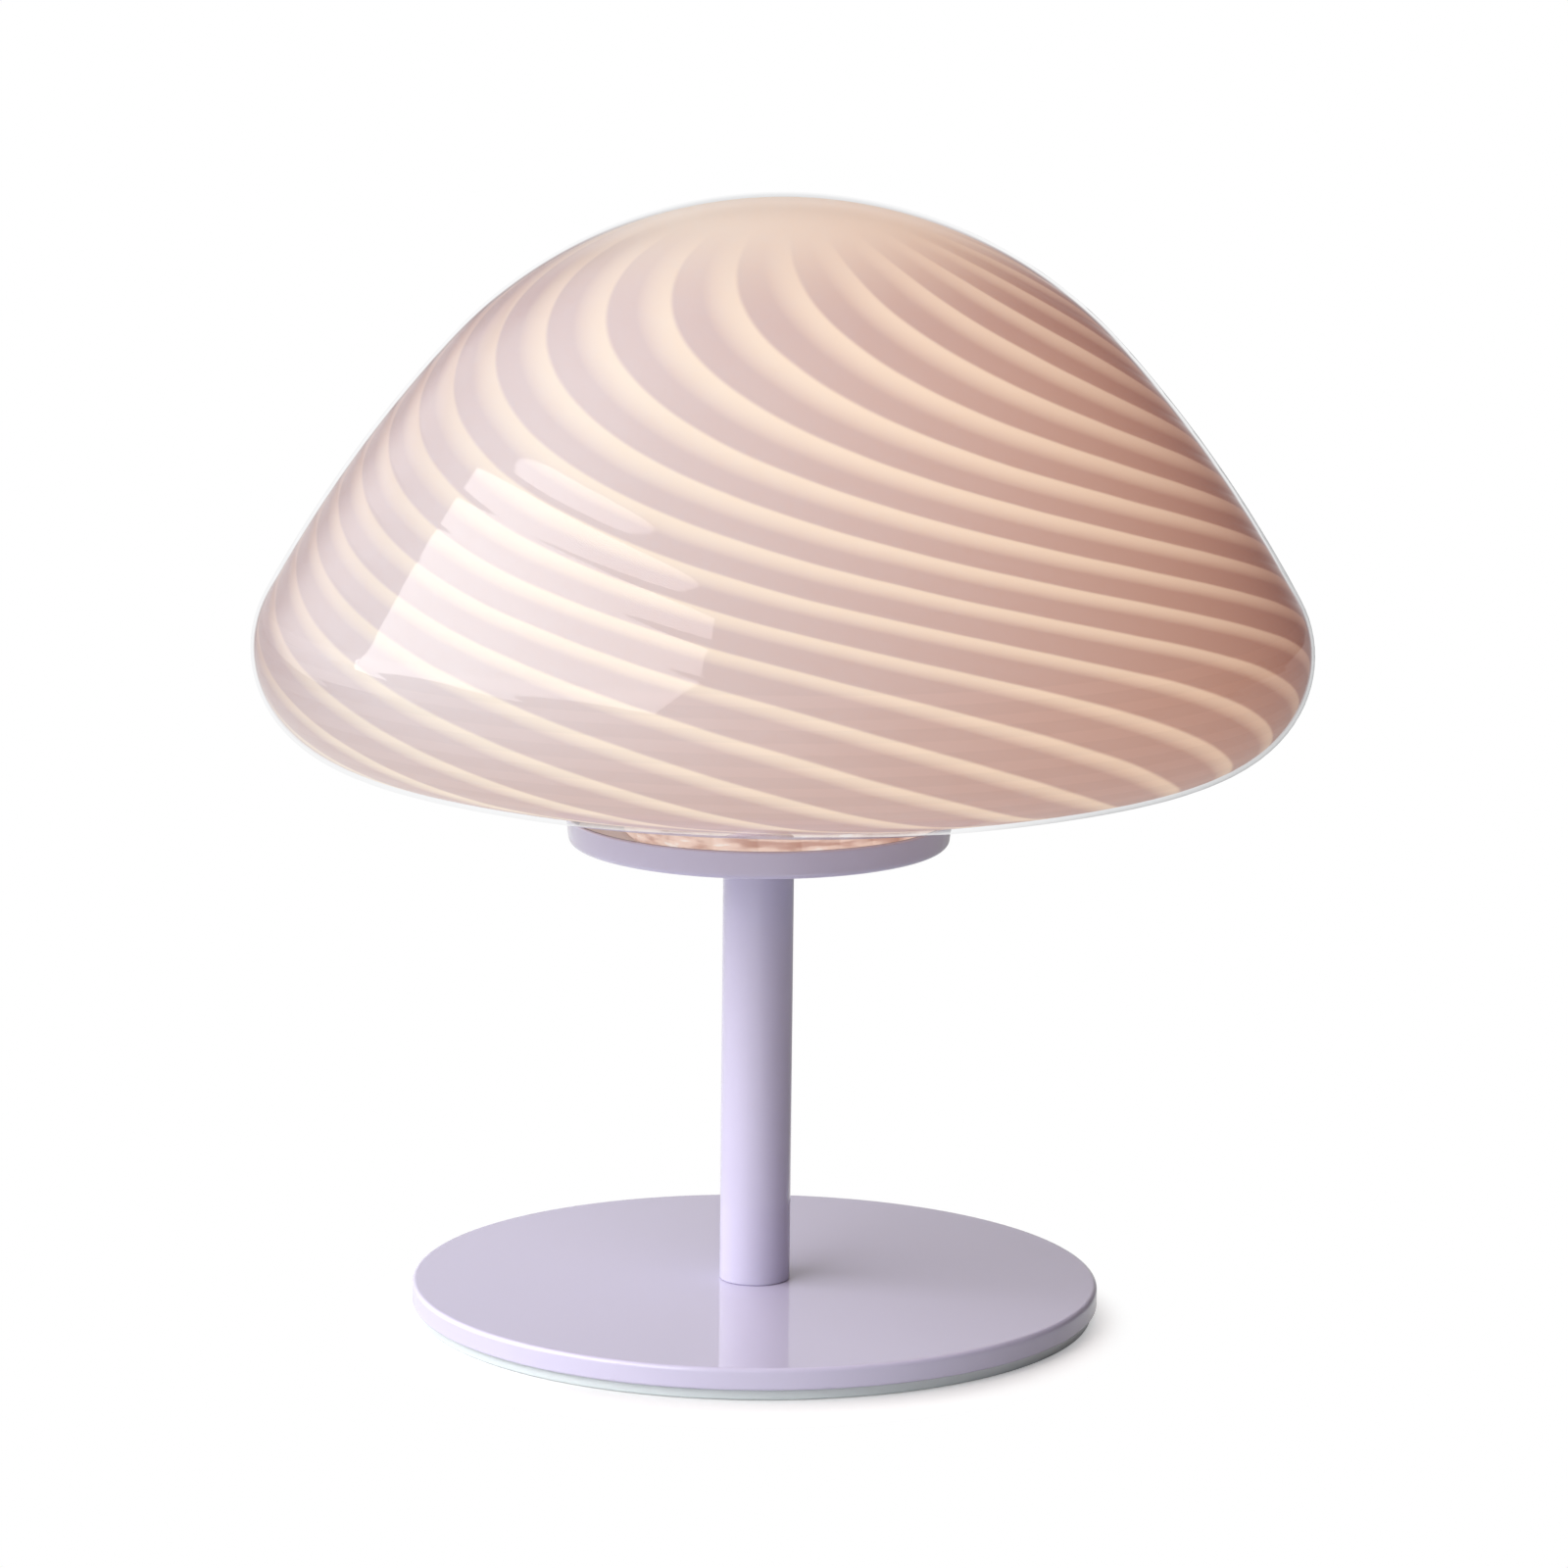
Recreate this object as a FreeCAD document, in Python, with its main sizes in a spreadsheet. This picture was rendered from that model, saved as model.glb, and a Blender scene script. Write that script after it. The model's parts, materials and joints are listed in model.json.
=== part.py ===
import FreeCAD, Part
import math
import os

import Sketcher

# A mushroom table lamp: a blown glass shade that rests by its neck in a shallow metal dish, on a
# slim stem and a round base. A two-pin capsule bulb stands inside the shade. Millimetres, +Z up.
# The origin is on the stem's axis, on the plane that the lamp rests on. -Y is the front.

document = FreeCAD.newDocument("MushroomLamp")
Vector = FreeCAD.Vector
UP = Vector(0, 0, 1)
# Two lengths count as one below SAME, and an edge is found by its place to within NEAR.
SAME = 1e-6
NEAR = 0.001


# ---------------------------------------------------------------- sizes

# Driving dimensions: name, value, what it is. Lengths in mm, angles in degrees.
SIZES = [
    ("PlateDiameter", "158", "base plate, outside"),
    ("PlateThickness", "5", "base plate, sheet steel"),
    ("PlateTopRound", "1.1", "rounding of the plate's upper edge"),
    ("PlateFootRound", "0.6", "rounding of the plate's lower edge"),
    ("PadThickness", "2.5", "clear pad glued under the plate"),
    ("PadInset", "1.3", "the pad's edge behind the plate's edge"),
    ("PadRound", "0.5", "rounding of the pad's edges"),
    ("StemDiameter", "16.2", "stem tube with its lacquer"),
    ("StemWall", "1.3", "stem tube wall"),
    ("StemHeight", "102.5", "stem tube, from the plate to the dish"),
    ("StemRound", "0.4", "broken edge at the tube's ends"),
    ("PlugClearance", "0.05", "plug to tube, all round"),
    ("FootPlugLength", "9", "threaded plug in the tube's foot"),
    ("HeadPlugLength", "12", "threaded plug in the tube's head"),
    ("ThreadClearance", "0.05", "thread to thread, all round"),
    ("HoleClearance", "0.3", "screw or nipple to its hole, all round"),
    ("ScrewDiameter", "6", "countersunk base screw"),
    ("ScrewHeadDiameter", "12", "base screw head"),
    ("ScrewHeadHeight", "3.3", "base screw head"),
    ("ScrewReach", "7", "base screw inside the foot plug"),
    ("ScrewChamfer", "0.6", "base screw's tip"),
    ("ScrewSocket", "4", "base screw hexagon, across flats"),
    ("ScrewSocketDepth", "2", "base screw hexagon"),
    ("GlandHeight", "16", "cord gland's axis above the plate"),
    ("GlandBore", "5.6", "way through the gland, for a round cord"),
    ("GlandWall", "1.2", "gland sleeve wall"),
    ("GlandFlange", "12", "gland flange, outside"),
    ("GlandFlangeThickness", "2", "gland flange beyond the tube"),
    ("GlandReach", "1.5", "gland sleeve inside the tube"),
    ("NippleDiameter", "10", "hollow threaded nipple"),
    ("NippleBore", "7.6", "way through the nipple"),
    ("NippleDepth", "10", "nipple inside the head plug"),
    ("NippleProud", "1.3", "nipple above its nut"),
    ("NippleChamfer", "0.5", "ends of the nipple"),
    ("DishWall", "1.2", "spun dish, sheet thickness"),
    ("DishHeight", "6.5", "dish, outside"),
    ("DishBend", "1.6", "dish, outer bend between floor and wall"),
    ("DishFlare", "7", "dish wall, degrees from upright"),
    ("DishLipRound", "0.5", "rounding of the dish's lip"),
    ("LinerThickness", "1.5", "soft ring that the neck stands on"),
    ("LinerGap", "0.3", "soft ring to the dish wall and the cover"),
    ("LinerRound", "0.4", "rounding of the soft ring"),
    ("ShadeDiameter", "241", "glass shade, outside"),
    ("GlassWall", "3.6", "glass shade wall"),
    ("CrownAngle", "47.7", "turn of the crown arc, from the top"),
    ("FlankRadius", "298", "long flank arc"),
    ("FlankAngle", "13.6", "turn of the flank arc"),
    ("RimRadius", "24.2", "tight arc at the widest place"),
    ("UnderSag", "8", "underside below the tight arc"),
    ("NeckDiameter", "73.8", "glass neck, outside"),
    ("NeckLength", "10.3", "glass neck, from its end to the underside"),
    ("NeckRound", "2", "turn between neck and underside"),
    ("NeckLipRound", "1.2", "fire-polished end of the neck"),
    ("ShadeOffset", "5", "how far the shade stands off the stem's axis"),
    ("NeckSideClearance", "0.5", "neck to dish wall, on that side"),
    ("BracketThickness", "1.5", "holder bracket, sheet steel"),
    ("BracketWidth", "16", "holder bracket strip"),
    ("BracketBend", "0.5", "inside of the bracket's bends"),
    ("RingThickness", "0.8", "earth ring terminal"),
    ("RingMargin", "3", "earth ring beyond the nipple"),
    ("BarrelWall", "0.8", "earth terminal's barrel"),
    ("BarrelHeight", "5", "earth terminal's barrel"),
    ("WasherThickness", "0.9", "toothed lock washer"),
    ("WasherDiameter", "15.6", "toothed lock washer, outside"),
    ("ToothDepth", "1.4", "lock washer teeth"),
    ("NutAcrossFlats", "14", "nipple nut"),
    ("NutThickness", "3", "nipple nut"),
    ("WireDiameter", "2", "insulated lead"),
    ("WireClearance", "0.05", "lead in its ferrule, all round"),
    ("WirePitch", "2.3", "leads off the nipple's axis"),
    ("WireRise", "0.5", "straight lead above the nipple"),
    ("WireGap", "0.9", "air between crossing leads"),
    ("LeadBend", "6", "bend radius of a lead, where it has room"),
    ("LeadSetback", "1.5", "ends of the leads behind the gland"),
    ("BundleGap", "0.17", "air between the leads at the gland"),
    ("LiveTurn", "1", "live lead turns up, in front of the stem's axis"),
    ("OtherTurn", "4", "the other two leads turn up, in front of the stem's axis"),
    ("LeadGather", "12", "leads begin to close up, below the nipple"),
    ("TailBend", "3", "bend radius of a tail"),
    ("TailWindow", "1.35", "air between a tail and the bracket's tab"),
    ("SpliceWall", "0.6", "crimp splice wall and floor"),
    ("PinSpacing", "9", "bulb pins, centre to centre"),
    ("PinWire", "0.9", "bulb pin wire"),
    ("PinWidth", "2.6", "bulb pin loop, outside"),
    ("PinLength", "8.5", "bulb pin loop"),
    ("PinTipGap", "1", "pin tip to the contact's floor"),
    ("ContactThickness", "0.4", "contact spring"),
    ("ContactClearance", "0.1", "contact to pin and to socket"),
    ("CeramicWall", "2", "holder block beyond its sockets"),
    ("HolderWidth", "14", "ceramic holder"),
    ("HolderFloor", "4", "ceramic under the contacts"),
    ("EarThickness", "4", "holder ears"),
    ("HolderRound", "1.5", "upright edges of the holder"),
    ("SmallScrewDiameter", "3", "holder screws"),
    ("SmallHeadDiameter", "5.5", "holder screw heads"),
    ("SmallHeadHeight", "2", "holder screw heads"),
    ("SmallHeadSlot", "0.8", "slot in the holder screw heads"),
    ("SmallSlotDepth", "1", "slot in the holder screw heads"),
    ("SmallNutAcrossFlats", "5.5", "holder nuts"),
    ("SmallNutThickness", "2.4", "holder nuts"),
    ("SmallGap", "0.6", "air round the holder's nuts and screw heads"),
    ("CoverWall", "0.8", "holder cover, sheet steel"),
    ("CoverClearance", "2.4", "bracket corners to the cover"),
    ("CoverHoleClearance", "0.4", "cover round the holder block"),
    ("CoverRound", "2", "rounding of the cover's shoulder"),
    ("BulbSeatGap", "0.2", "bulb base above the holder"),
    ("BulbBaseLength", "15.4", "bulb base block"),
    ("BulbBaseWidth", "9.6", "bulb base block"),
    ("BulbBaseHeight", "7", "bulb base block"),
    ("BulbCollarHeight", "2.5", "round collar on the bulb base"),
    ("BulbDiameter", "16", "bulb envelope"),
    ("BulbLength", "42", "bulb envelope"),
    ("BulbWall", "1", "bulb envelope"),
    ("CarrierDiameter", "8", "ceramic emitter carrier, across its flats"),
    ("CarrierHeight", "32", "ceramic emitter carrier"),
    ("EmitterWidth", "1.8", "light-emitting strip"),
    ("EmitterThickness", "0.5", "light-emitting strip"),
    ("EmitterMargin", "2.5", "carrier above and below its strips"),
]

WASHER_TEETH = 12
CARRIER_SIDES = 8

# The most of a straight run that the bend at its end may take.
BEND_SHARE = 0.45

# Worked out from the driving dimensions. Heights are above the resting plane.
DERIVED = [
    ("PlateRadius", "Sizes.PlateDiameter / 2"),
    ("PlateTop", "Sizes.PadThickness + Sizes.PlateThickness"),
    ("StemRadius", "Sizes.StemDiameter / 2"),
    ("TubeBore", "StemRadius - Sizes.StemWall"),
    ("PlugRadius", "TubeBore - Sizes.PlugClearance"),
    ("StemTop", "PlateTop + Sizes.StemHeight"),
    ("ScrewHole", "Sizes.ScrewDiameter / 2 + Sizes.HoleClearance"),
    ("NippleHole", "Sizes.NippleDiameter / 2 + Sizes.HoleClearance"),
    ("GlandZ", "PlateTop + Sizes.GlandHeight"),
    ("GlandRadius", "Sizes.GlandBore / 2 + Sizes.GlandWall"),
    ("GlandInner", "TubeBore - Sizes.GlandReach"),
    ("GlandOuter", "StemRadius + Sizes.GlandFlangeThickness"),
    ("DishTop", "StemTop + Sizes.DishWall"),
    ("NeckRadius", "Sizes.NeckDiameter / 2"),
    ("NeckBore", "NeckRadius - Sizes.GlassWall"),
    ("DishBore", "NeckRadius + Sizes.ShadeOffset + Sizes.NeckSideClearance"),
    ("DishRadius", "DishBore + Sizes.DishWall"),
    ("DishBendX", "DishRadius - Sizes.DishBend"),
    ("DishInnerBend", "Sizes.DishBend - Sizes.DishWall"),
    ("FlareCos", "cos(Sizes.DishFlare)"),
    ("FlareSin", "sin(Sizes.DishFlare)"),
    ("DishRise", "Sizes.DishHeight - Sizes.DishBend"),
    ("LipOuter", "DishBendX + (Sizes.DishBend + DishRise * FlareSin) / FlareCos"),
    ("LipInner", "LipOuter - Sizes.DishWall / FlareCos"),
    ("ShadeSeat", "DishTop + Sizes.LinerThickness"),
    ("WebTop", "DishTop + Sizes.BracketThickness"),
    ("RingTop", "WebTop + Sizes.RingThickness"),
    ("WasherTop", "RingTop + Sizes.WasherThickness"),
    ("NutTop", "WasherTop + Sizes.NutThickness"),
    ("NutCorner", "Sizes.NutAcrossFlats / sqrt(3)"),
    ("NippleTop", "NutTop + Sizes.NippleProud"),
    ("NippleFoot", "StemTop - Sizes.NippleDepth"),
    ("WireRadius", "Sizes.WireDiameter / 2"),
    ("WireHole", "WireRadius + Sizes.WireClearance"),
    ("BundleRadius", "(Sizes.WireDiameter + Sizes.BundleGap) / sqrt(3)"),
    ("SplicePitch", "Sizes.WireDiameter + 4 * Sizes.WireClearance + Sizes.SpliceWall / 2"),
    ("SpliceRadius", "SplicePitch / 2 + WireHole + Sizes.SpliceWall"),
    ("SpliceY", "Sizes.BracketWidth / 2 + SpliceRadius + 2 * Sizes.WireGap"),
    ("LoopRadius", "(SpliceY - Sizes.WirePitch) / 2"),
    ("LoopTop", "NippleTop + Sizes.WireRise + LoopRadius + WireRadius"),
    ("TailZ", "LoopTop + Sizes.WireGap + WireRadius"),
    ("ShelfTop", "TailZ + WireRadius + Sizes.WireGap + Sizes.BracketThickness"),
    ("SpliceTop", "NippleTop + Sizes.WireRise"),
    ("SpliceFoot", "DishTop + Sizes.WireGap"),
    ("SpliceLength", "SpliceTop - SpliceFoot"),
    ("BarrelRadius", "WireHole + Sizes.BarrelWall"),
    ("BarrelX", "NutCorner + Sizes.WireGap + BarrelRadius"),
    ("SocketWidth", "Sizes.PinWire + 2 * (2 * Sizes.ContactClearance + Sizes.ContactThickness)"),
    ("SocketLength", "Sizes.PinWidth + 6 * Sizes.ContactClearance"),
    ("SocketDepth", "Sizes.PinLength + Sizes.PinTipGap + Sizes.ContactThickness"),
    ("BlockLength", "Sizes.PinSpacing + SocketLength + 2 * Sizes.CeramicWall"),
    ("SmallHole", "Sizes.SmallScrewDiameter / 2 + Sizes.HoleClearance"),
    ("SmallNutCorner", "Sizes.SmallNutAcrossFlats / sqrt(3)"),
    ("ScrewX", "BlockLength / 2 + Sizes.SmallHeadDiameter / 2 + Sizes.SmallGap"),
    ("HolderLength", "2 * (ScrewX + SmallNutCorner + Sizes.SmallGap)"),
    ("HolderHeight", "SocketDepth + Sizes.HolderFloor"),
    ("BracketLength", "HolderLength + 2 * Sizes.BracketThickness"),
    ("BracketHeight", "ShelfTop - DishTop"),
    ("WindowX", "Sizes.PinSpacing / 2 + WireRadius + Sizes.TailWindow"),
    ("EarTop", "ShelfTop + Sizes.EarThickness"),
    ("HolderTop", "ShelfTop + HolderHeight"),
    ("CoverBore", "hypot(BracketLength / 2; Sizes.BracketWidth / 2) + Sizes.CoverClearance"),
    ("CoverRadius", "CoverBore + Sizes.CoverWall"),
    ("CoverFoot", "DishTop + Sizes.LinerGap"),
    ("CoverHeight", "EarTop + Sizes.CoverWall - CoverFoot"),
    ("BulbSeat", "HolderTop + Sizes.BulbSeatGap"),
    ("CollarTop", "BulbSeat + Sizes.BulbBaseHeight + Sizes.BulbCollarHeight"),
    ("ShadeRadius", "Sizes.ShadeDiameter / 2"),
    ("ShoulderAngle", "Sizes.CrownAngle + Sizes.FlankAngle"),
    ("CrownSin", "sin(Sizes.CrownAngle)"),
    ("CrownCos", "cos(Sizes.CrownAngle)"),
    ("ShoulderSin", "sin(ShoulderAngle)"),
    ("ShoulderCos", "cos(ShoulderAngle)"),
    ("FlankSpread", "Sizes.FlankRadius * (ShoulderSin - CrownSin)"),
    ("FlankFall", "Sizes.FlankRadius * (CrownCos - ShoulderCos)"),
    ("RimX", "ShadeRadius - Sizes.RimRadius"),
    ("CrownRadius", "(RimX + Sizes.RimRadius * ShoulderSin - FlankSpread) / CrownSin"),
    ("UnderZ", "Sizes.NeckLength"),
    ("RimZ", "UnderZ + Sizes.UnderSag + Sizes.RimRadius"),
    ("CrownZ", "RimZ + Sizes.RimRadius * ShoulderCos + FlankFall - CrownRadius * CrownCos"),
    ("BellyX", "NeckRadius + Sizes.NeckRound"),
    ("UnderReach", "RimX - BellyX"),
    ("UnderFall", "Sizes.UnderSag * (Sizes.UnderSag + 2 * Sizes.RimRadius)"),
    ("UnderRadius", "(UnderReach^2 + UnderFall) / (2 * Sizes.UnderSag)"),
    ("UnderSin", "UnderReach / (UnderRadius - Sizes.RimRadius)"),
    ("UnderCos", "(RimZ - UnderZ - UnderRadius) / (UnderRadius - Sizes.RimRadius)"),
]


def write_sheet(name, rows, formula=False):
    """Fill a spreadsheet: the name in column A, the value in B, which gets the name as its alias."""
    sheet = document.addObject("Spreadsheet::Sheet", name)
    for line, row in enumerate(rows, start=1):
        sheet.set(f"A{line}", row[0])
        sheet.set(f"B{line}", ("=" if formula else "") + row[1])
        sheet.setAlias(f"B{line}", row[0])
        if len(row) > 2:
            sheet.set(f"C{line}", row[2])
    return sheet


sizes = write_sheet("Sizes", SIZES)
derived = write_sheet("Derived", DERIVED, formula=True)
document.recompute()


def number(expression):
    """The value of an expression on the two sheets."""
    return float(derived.evalExpression(expression))


# ---------------------------------------------------------------- drawing and cutting


def origin_item(piece, role):
    """One of a body's own origin planes or axes."""
    return next(item for item in piece.Origin.OriginFeatures if item.Role == role)


def new_body(label):
    """An empty body. Its label names the sub-part."""
    piece = document.addObject("PartDesign::Body", label)
    piece.Label = label
    return piece


def sketch_on(piece, name, role, height=None):
    """An empty sketch on one of the body's origin planes, lifted off it by an expression."""
    sketch = piece.newObject("Sketcher::SketchObject", name)
    sketch.AttachmentSupport = [(origin_item(piece, role), "")]
    sketch.MapMode = "FlatFace"
    if height:
        sketch.setExpression("AttachmentOffset.Base.z", height)
    return sketch


def bind(sketch, kind, *where):
    """Add a constraint whose last argument is an expression."""
    places = where[:-1]
    index = sketch.addConstraint(Sketcher.Constraint(kind, *places, number(where[-1])))
    sketch.setExpression(f"Constraints[{index}]", where[-1])


def pin_point(sketch, geometry, point, x, y):
    """Hold a point of a drawn line at x, y. A plain 0 puts it on the sketch's axis."""
    if x == "0":
        sketch.addConstraint(Sketcher.Constraint("PointOnObject", geometry, point, -2))
    else:
        bind(sketch, "DistanceX", -1, 1, geometry, point, x)
    if y == "0":
        sketch.addConstraint(Sketcher.Constraint("PointOnObject", geometry, point, -1))
    else:
        bind(sketch, "DistanceY", -1, 1, geometry, point, y)


def arc_between(start, end, radius, side):
    """The short arc from start to end, with its centre on the left or the right of the way."""
    chord = end - start
    left = Vector(-chord.y, chord.x, 0).normalize()
    rise = math.sqrt(radius ** 2 - (chord.Length / 2) ** 2)
    centre = (start + end) / 2 + left * (rise if side == "left" else -rise)
    first, last = (start, end) if side == "left" else (end, start)
    angles = [math.atan2(point.y - centre.y, point.x - centre.x) for point in (first, last)]
    if angles[1] < angles[0]:
        angles[1] += 2 * math.pi
    return Part.ArcOfCircle(Part.Circle(centre, UP, radius), *angles)


def draw_outline(sketch, corners):
    """Draw a closed outline. A corner is (x, y), or (x, y, radius, side) where an arc leads on to
    the next corner. Sizes and places are expressions, and the outline follows them."""
    first = sketch.GeometryCount
    places = [Vector(number(corner[0]), number(corner[1]), 0) for corner in corners]
    starts = []
    ends = []
    for index, corner in enumerate(corners):
        start = places[index]
        end = places[(index + 1) % len(places)]
        if len(corner) == 2:
            sketch.addGeometry(Part.LineSegment(start, end), False)
            side = "left"
        else:
            side = corner[3]
            sketch.addGeometry(arc_between(start, end, number(corner[2]), side), False)
        starts.append(1 if side == "left" else 2)
        ends.append(2 if side == "left" else 1)
    for index in range(len(corners)):
        after = (index + 1) % len(corners)
        joint = (first + index, ends[index], first + after, starts[after])
        sketch.addConstraint(Sketcher.Constraint("Coincident", *joint))
    for index, corner in enumerate(corners):
        pin_point(sketch, first + index, starts[index], corner[0], corner[1])
        if len(corner) > 2:
            bind(sketch, "Radius", first + index, corner[2])


def draw_circle(sketch, radius, x="0", y="0"):
    """Draw a circle whose radius and centre are expressions."""
    circle = Part.Circle(Vector(number(x), number(y), 0), UP, number(radius))
    index = sketch.addGeometry(circle, False)
    bind(sketch, "Radius", index, radius)
    pin_point(sketch, index, 3, x, y)


def draw_box(sketch, half_x, half_y, x="0"):
    """Draw a rectangle of two half sizes, centred at x on the sketch's horizontal axis."""
    low, high = f"{x} - ({half_x})", f"{x} + ({half_x})"
    draw_outline(sketch, [
        (low, f"-({half_y})"),
        (high, f"-({half_y})"),
        (high, half_y),
        (low, half_y),
    ])


def draw_hexagon(sketch, across_flats):
    """Draw a hexagon with two corners on the horizontal axis."""
    corner = f"{across_flats} / sqrt(3)"
    draw_outline(sketch, [
        (corner, "0"),
        (f"{corner} / 2", f"{across_flats} / 2"),
        (f"-{corner} / 2", f"{across_flats} / 2"),
        (f"-{corner}", "0"),
        (f"-{corner} / 2", f"-{across_flats} / 2"),
        (f"{corner} / 2", f"-{across_flats} / 2"),
    ])


def add_feature(piece, kind, sketch, **sizes_by_name):
    """Add a feature made from a sketch, with its sizes bound to expressions."""
    feature = piece.newObject(f"PartDesign::{kind}", f"{piece.Label}_{kind}")
    feature.Profile = sketch
    for name, expression in sizes_by_name.items():
        feature.setExpression(name, expression)
    return feature


def pad(piece, sketch, length, midplane=False):
    """Raise a sketch into a solid, to one side or to both."""
    feature = add_feature(piece, "Pad", sketch, Length=length)
    feature.Midplane = midplane
    document.recompute()
    return feature


def revolve(piece, sketch, axis="V_Axis"):
    """Turn a sketch once round one of its axes."""
    feature = add_feature(piece, "Revolution", sketch)
    feature.ReferenceAxis = (sketch, [axis])
    feature.Angle = 360
    document.recompute()
    return feature


def pocket(piece, sketch, length, backwards=False, midplane=False):
    """Cut a sketch out of the solid, and make sure that something was cut."""
    before = piece.Shape.Volume
    feature = add_feature(piece, "Pocket", sketch, Length=length)
    feature.Reversed = backwards
    feature.Midplane = midplane
    document.recompute()
    if piece.Shape.Volume > before - SAME:
        raise RuntimeError(f"a pocket in {piece.Label} cuts nothing")
    return feature


def finish_edges(piece, kind, size, wanted):
    """Fillet or chamfer the edges of a body that a test picks."""
    base = piece.Tip
    names = [f"Edge{i}" for i, edge in enumerate(base.Shape.Edges, start=1) if wanted(edge)]
    if not names:
        raise RuntimeError(f"no edge of {piece.Label} to {kind}")
    feature = piece.newObject(f"PartDesign::{kind}", f"{piece.Label}_{kind}")
    feature.Base = (base, names)
    feature.setExpression("Radius" if kind == "Fillet" else "Size", size)
    document.recompute()
    return feature


def on_rings(*rings):
    """A test for circular edges round Z: each ring is (radius, height), as expressions."""
    places = [(number(radius), number(height)) for radius, height in rings]

    def wanted(edge):
        if edge.Degenerated or not isinstance(edge.Curve, Part.Circle):
            return False
        found = (edge.Curve.Radius, edge.Curve.Center.z)
        return any(math.dist(found, place) < NEAR for place in places)

    return wanted


def upright(edge):
    """A test for straight edges along Z."""
    ends = [vertex.Point for vertex in edge.Vertexes]
    return len(ends) == 2 and math.dist(ends[0][:2], ends[1][:2]) < SAME


def turned_body(label, corners):
    """A body turned round Z from one outline in the XZ plane."""
    piece = new_body(label)
    outline = sketch_on(piece, f"{label}_outline", "XZ_Plane")
    draw_outline(outline, corners)
    revolve(piece, outline)
    return piece


def ring_outline(inner, outer, height):
    """The outline of a plain ring or tube that stands on z = 0."""
    return [(inner, "0"), (outer, "0"), (outer, height), (inner, height)]


def primitive(kind, name, place=("0", "0", "0"), turn=None, **sizes_by_name):
    """A plain box, cylinder or prism with its sizes and place bound to expressions."""
    solid = document.addObject(f"Part::{kind}", name)
    if turn:
        solid.Placement = FreeCAD.Placement(Vector(), turn)
    for size, expression in sizes_by_name.items():
        solid.setExpression(size, expression)
    for axis, expression in zip("xyz", place):
        solid.setExpression(f"Placement.Base.{axis}", expression)
    return solid


def cut(name, base, tool):
    """One solid minus another."""
    result = document.addObject("Part::Cut", name)
    result.Base = base
    result.Tool = tool
    return result


def together(name, solids):
    """Solids as one object: joined where they meet, and a group of separate ones otherwise."""
    result = document.addObject("Part::MultiFuse", name)
    result.Shapes = solids
    return result


sub_parts = []


def keep(piece, z="0", x="0", y="0"):
    """Put a finished sub-part in its place, and list it."""
    for axis, expression in zip("xyz", (x, y, z)):
        if expression != "0":
            piece.setExpression(f"Placement.Base.{axis}", expression)
    sub_parts.append(piece)


# ---------------------------------------------------------------- base


def make_base_pad():
    """The clear disc that keeps the lamp from sliding, and hides the screw."""
    piece = new_body("base_pad")
    radius = "Derived.PlateRadius - Sizes.PadInset"
    outline = sketch_on(piece, "pad_outline", "XY_Plane")
    draw_circle(outline, radius)
    pad(piece, outline, "Sizes.PadThickness")
    rings = on_rings((radius, "0"), (radius, "Sizes.PadThickness"))
    finish_edges(piece, "Fillet", "Sizes.PadRound", rings)
    keep(piece)


def make_base_plate():
    """The heavy steel disc, countersunk from below for its one screw."""
    piece = turned_body("base_plate", [
        ("Sizes.ScrewHeadDiameter / 2 + Sizes.HoleClearance", "0"),
        ("Derived.PlateRadius", "0"),
        ("Derived.PlateRadius", "Sizes.PlateThickness"),
        ("Derived.ScrewHole", "Sizes.PlateThickness"),
        ("Derived.ScrewHole", "Sizes.ScrewHeadHeight"),
    ])
    top = on_rings(("Derived.PlateRadius", "Sizes.PlateThickness"))
    foot = on_rings(("Derived.PlateRadius", "0"))
    finish_edges(piece, "Fillet", "Sizes.PlateTopRound", top)
    finish_edges(piece, "Fillet", "Sizes.PlateFootRound", foot)
    keep(piece, z="Sizes.PadThickness")


def make_base_screw():
    """The countersunk screw that pulls the stem onto the plate."""
    length = "Sizes.PlateThickness + Sizes.ScrewReach"
    shank = "Sizes.ScrewDiameter / 2"
    piece = turned_body("base_screw", [
        ("0", "0"),
        ("Sizes.ScrewHeadDiameter / 2", "0"),
        (shank, "Sizes.ScrewHeadHeight"),
        (shank, f"{length} - Sizes.ScrewChamfer"),
        (f"{shank} - Sizes.ScrewChamfer", length),
        ("0", length),
    ])
    socket = sketch_on(piece, "screw_socket", "XY_Plane")
    draw_hexagon(socket, "Sizes.ScrewSocket")
    pocket(piece, socket, "Sizes.ScrewSocketDepth", backwards=True)
    keep(piece, z="Sizes.PadThickness")


# ---------------------------------------------------------------- stem


def make_stem_tube():
    """The lacquered tube, with the hole for the cord gland at its back."""
    piece = new_body("stem_tube")
    outline = sketch_on(piece, "tube_outline", "XY_Plane")
    draw_circle(outline, "Derived.StemRadius")
    draw_circle(outline, "Derived.TubeBore")
    pad(piece, outline, "Sizes.StemHeight")
    hole = sketch_on(piece, "gland_hole", "XZ_Plane")
    draw_circle(hole, "Derived.GlandRadius + Sizes.PlugClearance", y="Sizes.GlandHeight")
    pocket(piece, hole, "Sizes.StemDiameter")
    ends = on_rings(("Derived.StemRadius", "0"), ("Derived.StemRadius", "Sizes.StemHeight"))
    finish_edges(piece, "Fillet", "Sizes.StemRound", ends)
    keep(piece, z="Derived.PlateTop")


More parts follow.
